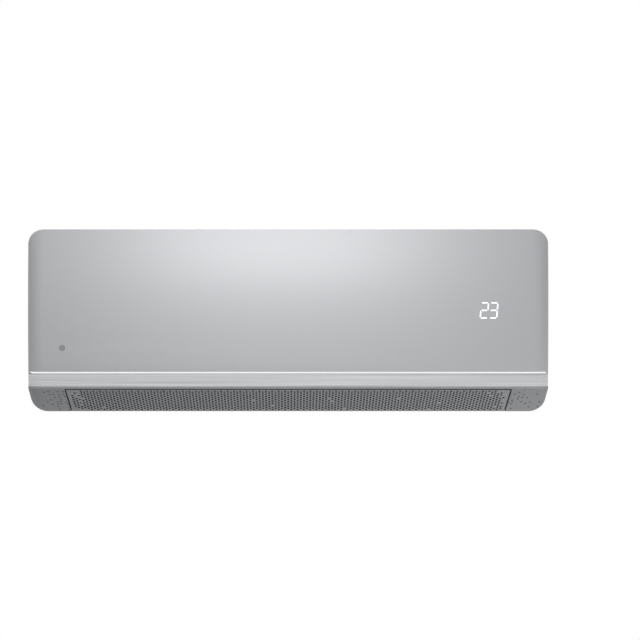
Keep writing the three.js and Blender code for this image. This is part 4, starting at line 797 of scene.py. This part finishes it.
bend_corners, bend_faces = [], []
for node, (y, z, high, tilt, bends) in coil_blocks.items():
    at = np.arange(COIL_LEFT + FIN_PITCH / 2, COIL_RIGHT - FIN_THICK, FIN_PITCH)
    low = np.stack([at, 0 * at - COIL_DEEP / 2, 0 * at - high / 2], 1)
    size = np.array([FIN_THICK, COIL_DEEP, high])
    corners, faces = bars(low, low + size)
    fins = piece_from(f"{node}_fins", turned(corners, y, z, tilt), faces, [fin_metal], "root",
                      "fin_aluminium")
    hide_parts(node)
    for end, face_x in ((-1, COIL_LEFT - BEND_START), (1, COIL_RIGHT + BEND_START)):
        for bend in bends:
            for row in (-TUBE_ROW, TUBE_ROW):
                if end > 0 and node == "evaporator_rear" and bend < 0:
                    continue      # the gas pipe joins the coil here
                tube = hairpin(face_x, end * BEND_REACH, bend * MM, row)
                bend_faces += swept_faces(BEND_STEPS + 1, BEND_SIDES, len(tube) * len(bend_corners))
                bend_corners.append(turned(tube, y, z, tilt))
return_bends = piece_from("coil_return_bends", np.concatenate(bend_corners), bend_faces, [copper_tube],
                          "root", "copper")
turn_outward(return_bends)
shade(return_bends, 50)
for end in ("left", "right"):
    dressed(f"coil_end_plate_{end}", f"coil_sheet_plate_{end}", "galvanised_steel", galvanised, 30)
dressed("coil_sensor", "coil_temperature_bulb", "copper", copper_tube)

# ---------------------------------------------------------------------------
# Cross-flow fan: thirty-five curved blades between ring discs, in nine bays turned a little against
# each other, with end discs and hubs, moulded in dark plastic and welded disc to disc.
# ---------------------------------------------------------------------------

FAN_Y = -92 * MM
FAN_Z = -34 * MM
FAN_LEFT = -360 * MM
FAN_RIGHT = 290 * MM
BLADES = 35
BLADE_INNER = 34.5 * MM           # radius at a blade's inner edge
BLADE_REACH = 10 * MM
BLADE_SAG = 3.4 * MM
BLADE_EDGE = 0.25 * MM            # half thickness at a blade's edges
BLADE_SWELL = 0.5 * MM            # and what its middle has on top of that
BAYS = 9
BAY_TURN = 0.22                   # of a blade's pitch, times a number from 0 to 8 for each bay
BAY_INSET = 1 * MM                # blades end in the middle of the end discs
DISC = 2 * MM
DISC_INNER = 33.5 * MM
DISC_OUTER = 44.6 * MM
DISC_SIDES = 40
LEFT_DISC = ((0, 4.4), (0, 44.2), (0.4, 45), (2, 45), (2, 16), (9, 13), (9, 4.4))
RIGHT_DISC = ((-10, 4.4), (-10, 12), (-2, 16), (-2, 45), (0, 45), (0, 14), (5, 13), (5, 4.4))
fan_dark = finish_of("fan_dark", (0.045, 0.047, 0.05), 0.45, 0, "moulded_grain", 0.0012, 0.06, dust=0.3)


def blade_section(steps=5):
    """A crescent: an arc from the inner to the outer radius, thick in the middle and thin at its ends."""
    t = np.linspace(0, 1, steps + 1)
    radius = BLADE_INNER + BLADE_REACH * t
    sag = -BLADE_SAG * np.sin(np.pi * (0.15 + 0.6 * t))
    thick = BLADE_EDGE + BLADE_SWELL * np.sin(np.pi * t)
    near = np.stack([radius, sag - thick], 1)
    away = np.stack([radius, sag + thick], 1)[::-1]
    return np.concatenate([near, away])


def revolved(profile):
    """Corners of a profile of (x, radius) turned round the fan's axis, one ring for each of its points."""
    angle = np.linspace(0, 2 * np.pi, DISC_SIDES, endpoint=False)
    profile = np.asarray(profile, float)
    x = np.repeat(profile[:, 0], DISC_SIDES)
    r = profile[:, 1][:, None]
    y = (FAN_Y + r * np.cos(angle)).reshape(-1)
    z = (FAN_Z + r * np.sin(angle)).reshape(-1)
    return np.stack([x, y, z], 1)


fan_corners, fan_faces = [], []
section = blade_section()
around = len(section)
bay_edges = np.linspace(FAN_LEFT + BAY_INSET, FAN_RIGHT - BAY_INSET, BAYS + 1)
total = 0
for bay in range(BAYS):
    turn = 2 * np.pi * (np.arange(BLADES) + BAY_TURN * (bay * 4 % BAYS)) / BLADES
    c, d = np.cos(turn)[:, None], np.sin(turn)[:, None]
    y = FAN_Y + section[None, :, 0] * c - section[None, :, 1] * d
    z = FAN_Z + section[None, :, 0] * d + section[None, :, 1] * c
    for blade in range(BLADES):
        ends = [np.stack([np.full(around, bay_edges[bay + e]), y[blade], z[blade]], 1) for e in (0, 1)]
        fan_corners.append(np.concatenate(ends))
        fan_faces += swept_faces(2, around, total)
        total += 2 * around
profiles = []
for middle in bay_edges[1:-1]:
    a, b = middle - DISC / 2, middle + DISC / 2
    profiles.append([(a, DISC_INNER), (a, DISC_OUTER), (b, DISC_OUTER), (b, DISC_INNER)])
for end, disc in ((FAN_LEFT, LEFT_DISC), (FAN_RIGHT, RIGHT_DISC)):
    profiles.append([(end + along * MM, radius * MM) for along, radius in disc])
for profile in profiles:
    fan_faces += band_faces(len(profile), DISC_SIDES, total, len(profile))
    fan_corners.append(revolved(profile))
    total += len(fan_corners[-1])
wheel = piece_from("fan_wheel", np.concatenate(fan_corners), fan_faces, [fan_dark], "fan", "fan_plastic")
turn_outward(wheel)
shade(wheel, 40)
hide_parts("cross_flow_fan")

# ---------------------------------------------------------------------------
# Fan shafts, bearing and motor: ground steel shafts, a rubber-mounted bush in a plastic holder, and a
# canned motor held down by a sheet clamp.
# ---------------------------------------------------------------------------

ground_steel = finish_of("ground_steel", (0.56, 0.565, 0.57), 0.28, 0.9, "drawn_lines", 0.0012, 0.08,
                         0.0001, 0.08)
motor_zinc = finish_of("motor_can", (0.46, 0.47, 0.48), 0.38, 0.8, "zinc_spangle", 0.004, 0.02, 0.0001,
                       0.08)
dressed("fan_stub_shaft", "fan_stub_spindle", "steel", ground_steel)
dressed("motor_shaft", "motor_spindle", "steel", ground_steel)
dressed("bearing_holder", "bearing_carrier", "white_plastic", pan_white)
dressed("bearing_bush", "rubber_bearing_bush", "rubber", rubber_black)
dressed("fan_motor", "fan_motor_can", "galvanised_steel", motor_zinc)
dressed("motor_clamp", "motor_clamp_band", "galvanised_steel", galvanised)

# ---------------------------------------------------------------------------
# Louvre motor and air vanes: a small geared motor on the duct end, twelve upright vanes that turn in
# the duct floor, and the two bars that move them together.
# ---------------------------------------------------------------------------

geared_white = finish_of("geared_motor_white", (0.6, 0.6, 0.58), 0.45, 0, "moulded_grain", 0.0008, 0.06)
vane_dark = finish_of("vane_dark", (0.05, 0.052, 0.056), 0.5, 0, "moulded_grain", 0.0008, 0.08, dust=0.2)
VANES = 12
dressed("louvre_motor", "louvre_gear_motor", "white_plastic", geared_white)
for number in range(1, VANES + 1):
    dressed(f"air_vane_{number}", f"swing_vane_{number}", "dark_plastic", vane_dark)
for side in ("left", "right"):
    dressed(f"vane_link_{side}", f"vane_bar_{side}", "white_plastic", geared_white)

# ---------------------------------------------------------------------------
# Electrical box: a flame-retardant moulded tray at the right-hand end with a zinc-coated cover, the
# control board and its terminal block.
# ---------------------------------------------------------------------------


def board_tracks(tree, position, rate):
    """Copper tracks under green lacquer: a fine brick pattern for the tone, soft noise for the height."""
    squeeze = put(tree, "ShaderNodeVectorMath", {0: position, 1: (1, 0, 1)}, operation="MULTIPLY")
    swap = put(tree, "ShaderNodeSeparateXYZ", {0: squeeze.outputs[0]})
    flat = put(tree, "ShaderNodeCombineXYZ", {0: swap.outputs["X"], 1: swap.outputs["Z"]})
    lines = put(tree, "ShaderNodeTexBrick", {"Vector": flat.outputs[0], "Scale": rate, "Mortar Size": 0.12,
                                             "Color1": (0, 0, 0, 1), "Color2": (0.25, 0.25, 0.25, 1),
                                             "Mortar": (1, 1, 1, 1)})
    soft = put(tree, "ShaderNodeTexNoise", {"Vector": position, "Scale": 500.0})
    grey = put(tree, "ShaderNodeSeparateColor", {"Color": lines.outputs["Color"]})
    return soft.outputs["Fac"], grey.outputs["Red"]


effects["board_tracks"] = surface_effect("board_tracks", board_tracks)
tray_grey = finish_of("tray_grey", (0.25, 0.255, 0.26), 0.5, 0, "moulded_grain", 0.0009, 0.08)
board_green = finish_of("board_green", (0.02, 0.12, 0.055), 0.35, 0, "board_tracks", 0.004, 0.1, 0.0001,
                        0.35)
part_black = finish_of("component_black", (0.03, 0.03, 0.032), 0.4, 0, "moulded_grain", 0.0006, 0.08)
BOARD_THICK = 2 * MM
dressed("electrical_box", "electrical_tray", "grey_plastic", tray_grey)
dressed("electrical_box_cover", "electrical_cover_sheet", "galvanised_steel", galvanised)


def off_board(middles, sides):
    """The components: all that stands further out to the room than the board is thick."""
    return middles[:, 1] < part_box("control_board")[1].y - BOARD_THICK


dressed("control_board", "control_board_assembly", "circuit_board", board_green,
        second=(part_black, off_board))
dressed("terminal_block", "terminal_strip", "white_plastic", geared_white)

# ---------------------------------------------------------------------------
# Display board, emergency button and room sensor: small pieces on the cabinet's front plate. The board
# carries the lit figures in a black block and stands behind their place in the panel.
# ---------------------------------------------------------------------------

LIT_BLOCK_DEEP = 2.5 * MM


def lit_block(middles, sides):
    """The black block of the two lit figures: all that lies within its depth of the piece's front."""
    return middles[:, 1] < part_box("display_board")[0].y + LIT_BLOCK_DEEP


dressed("display_board", "display_circuit", "circuit_board", board_green, second=(part_black, lit_block))
dressed("emergency_button", "emergency_key", "white_plastic", geared_white)
dressed("room_sensor", "room_air_sensor", "white_plastic", geared_white)

# ---------------------------------------------------------------------------
# Refrigerant pipes: two drawn copper tubes in the rear channel, with brass flare nuts for the line set
# and a foam sleeve against dripping.
# ---------------------------------------------------------------------------


def closed_foam(tree, position, rate):
    """Foam cells: rounded pits from the distance inside Voronoi cells, and a slow change of tone."""
    cells = put(tree, "ShaderNodeTexVoronoi", {"Vector": position, "Scale": rate})
    slow = put(tree, "ShaderNodeTexNoise", {"Vector": position, "Scale": 40.0})
    return cells.outputs["Distance"], slow.outputs["Fac"]


effects["closed_foam"] = surface_effect("closed_foam", closed_foam)
nut_brass = finish_of("nut_brass", (0.56, 0.4, 0.14), 0.3, 0.9, "drawn_lines", 0.001, 0.05, 0.0001, 0.1)
sleeve_foam = finish_of("sleeve_foam", (0.7, 0.7, 0.67), 0.85, 0, "closed_foam", 0.0015, 0.3, 0.0003, 0.06)
for kind in ("gas", "liquid"):
    dressed(f"{kind}_pipe", f"{kind}_tube", "copper", copper_tube, 50)
    dressed(f"{kind}_flare_nut", f"{kind}_union_nut", "brass", nut_brass)
dressed("pipe_insulation", "pipe_foam_sleeve", "foam", sleeve_foam)

# ---------------------------------------------------------------------------
# Cabinet screws: two zinc-plated pan heads, driven up through the cabinet's underside into the
# chassis.
# ---------------------------------------------------------------------------

SCREW_EDGE = 0.2 * MM             # rounding of the head's rim
for side in ("left", "right"):
    dressed(f"cabinet_screw_{side}", f"cabinet_pan_screw_{side}", "steel", ground_steel, 34, SCREW_EDGE)

# ---------------------------------------------------------------------------
# Studio: a pale floor well below the unit, a soft overhead bank in front, weak fills, and a camera
# square to the unit at the height of its middle.
# ---------------------------------------------------------------------------

FLOOR_LEVEL = -0.95
FLOOR_HALF = 3
FLOOR_REAR = 1.1                  # past the wall's plane
floor_mesh = bpy.data.meshes.new("studio_floor")
floor_corners = [(x, y, FLOOR_LEVEL) for x, y in ((-FLOOR_HALF, -FLOOR_HALF), (FLOOR_HALF, -FLOOR_HALF),
                                                  (FLOOR_HALF, FLOOR_REAR), (-FLOOR_HALF, FLOOR_REAR))]
floor_mesh.from_pydata(floor_corners, [], [(0, 1, 2, 3)])
pale_floor = finish_of("pale_floor", (0.82, 0.82, 0.81), 0.8, 0, "moulded_grain", 0.004, 0.05, 0.0005, 0.02)
floor_tree = pale_floor.node_tree
floor_rays = put(floor_tree, "ShaderNodeLightPath")
floor_white = put(floor_tree, "ShaderNodeEmission", {"Color": (1, 1, 1, 1), "Strength": 1.0})
FLOOR_WHITENESS = 0.7             # share of plain white in what the camera sees of it
floor_seen = put(floor_tree, "ShaderNodeMath", {0: floor_rays.outputs["Is Camera Ray"],
                                                1: FLOOR_WHITENESS}, operation="MULTIPLY")
floor_seen = put(floor_tree, "ShaderNodeMath", {0: floor_seen.outputs[0],
                                                1: floor_rays.outputs["Is Glossy Ray"]}, operation="MAXIMUM")
floor_shown = put(floor_tree, "ShaderNodeMixShader", {
    0: floor_seen.outputs[0], 1: floor_tree.nodes["Principled BSDF"].outputs[0], 2: floor_white.outputs[0]})
floor_tree.links.new(floor_shown.outputs[0], floor_tree.nodes["Material Output"].inputs["Surface"])
floor_mesh.materials.append(pale_floor)
floor = bpy.data.objects.new("studio_floor", floor_mesh)
bpy.context.scene.collection.objects.link(floor)

world = bpy.data.worlds.new("studio_air")
world.use_nodes = True
bpy.context.scene.world = world
sky = world.node_tree
ambient = sky.nodes["Background"]
ambient.inputs["Color"].default_value = (0.93, 0.965, 1.0, 1)
ambient.inputs["Strength"].default_value = 0.22
shown_white = put(sky, "ShaderNodeBackground", {"Color": (1, 1, 1, 1), "Strength": 1.0})
rays = put(sky, "ShaderNodeLightPath")
seen = put(sky, "ShaderNodeMath", {0: rays.outputs["Is Camera Ray"], 1: rays.outputs["Is Glossy Ray"]},
           operation="MAXIMUM")
seen = put(sky, "ShaderNodeMath", {0: seen.outputs[0], 1: rays.outputs["Is Transmission Ray"]},
           operation="MAXIMUM")
either = put(sky, "ShaderNodeMixShader", {0: seen.outputs[0], 1: ambient.outputs[0],
                                          2: shown_white.outputs[0]})
sky.links.new(either.outputs[0], sky.nodes["World Output"].inputs["Surface"])


def soft_lamp(name, place, target, size, power, mirrored=True):
    """A rectangular lamp aimed at a point; a lamp that isn't mirrored leaves no highlight."""
    lamp = bpy.data.lights.new(name, "AREA")
    lamp.shape = "RECTANGLE"
    lamp.size, lamp.size_y = size
    lamp.energy = power
    holder = bpy.data.objects.new(name, lamp)
    holder.location = place
    holder.rotation_euler = (Vector(target) - Vector(place)).to_track_quat("-Z", "Y").to_euler()
    holder.visible_camera = False
    holder.visible_glossy = mirrored
    bpy.context.scene.collection.objects.link(holder)


soft_lamp("front_bank", (-0.02, -0.74, 0.33), (-0.02, -0.2, -0.1), (0.6, 0.4), 2.4)
soft_lamp("low_fill", (0.1, -0.5, -0.85), (0.05, -0.17, -0.12), (0.9, 0.3), 1.2, False)
soft_lamp("right_fill", (0.8, -0.35, -0.6), (0.25, -0.17, -0.12), (0.4, 0.3), 1.2, False)

CAMERA_AWAY = 1.8                 # from the panel's foremost line
FRAME_WIDE = 1.031                # width that the picture takes in at that distance
SENSOR = 36
PICTURE = 640                     # pixels
SHIFT_X, SHIFT_Y = 31.8, 1.8      # pixels that the unit sits left of and below the picture's middle
lens = bpy.data.cameras.new("photo_view")
lens.sensor_width = SENSOR
lens.lens = SENSOR * CAMERA_AWAY / FRAME_WIDE
lens.shift_x = SHIFT_X / PICTURE
lens.shift_y = SHIFT_Y / PICTURE
lens.clip_start = 0.01
camera = bpy.data.objects.new("photo_view", lens)
camera.location = (0, -CASE_DEPTH - CAMERA_AWAY, 0)
camera.rotation_euler = (np.pi / 2, 0, 0)
bpy.context.scene.collection.objects.link(camera)
bpy.context.scene.camera = camera
bpy.context.scene.view_settings.view_transform = "Standard"
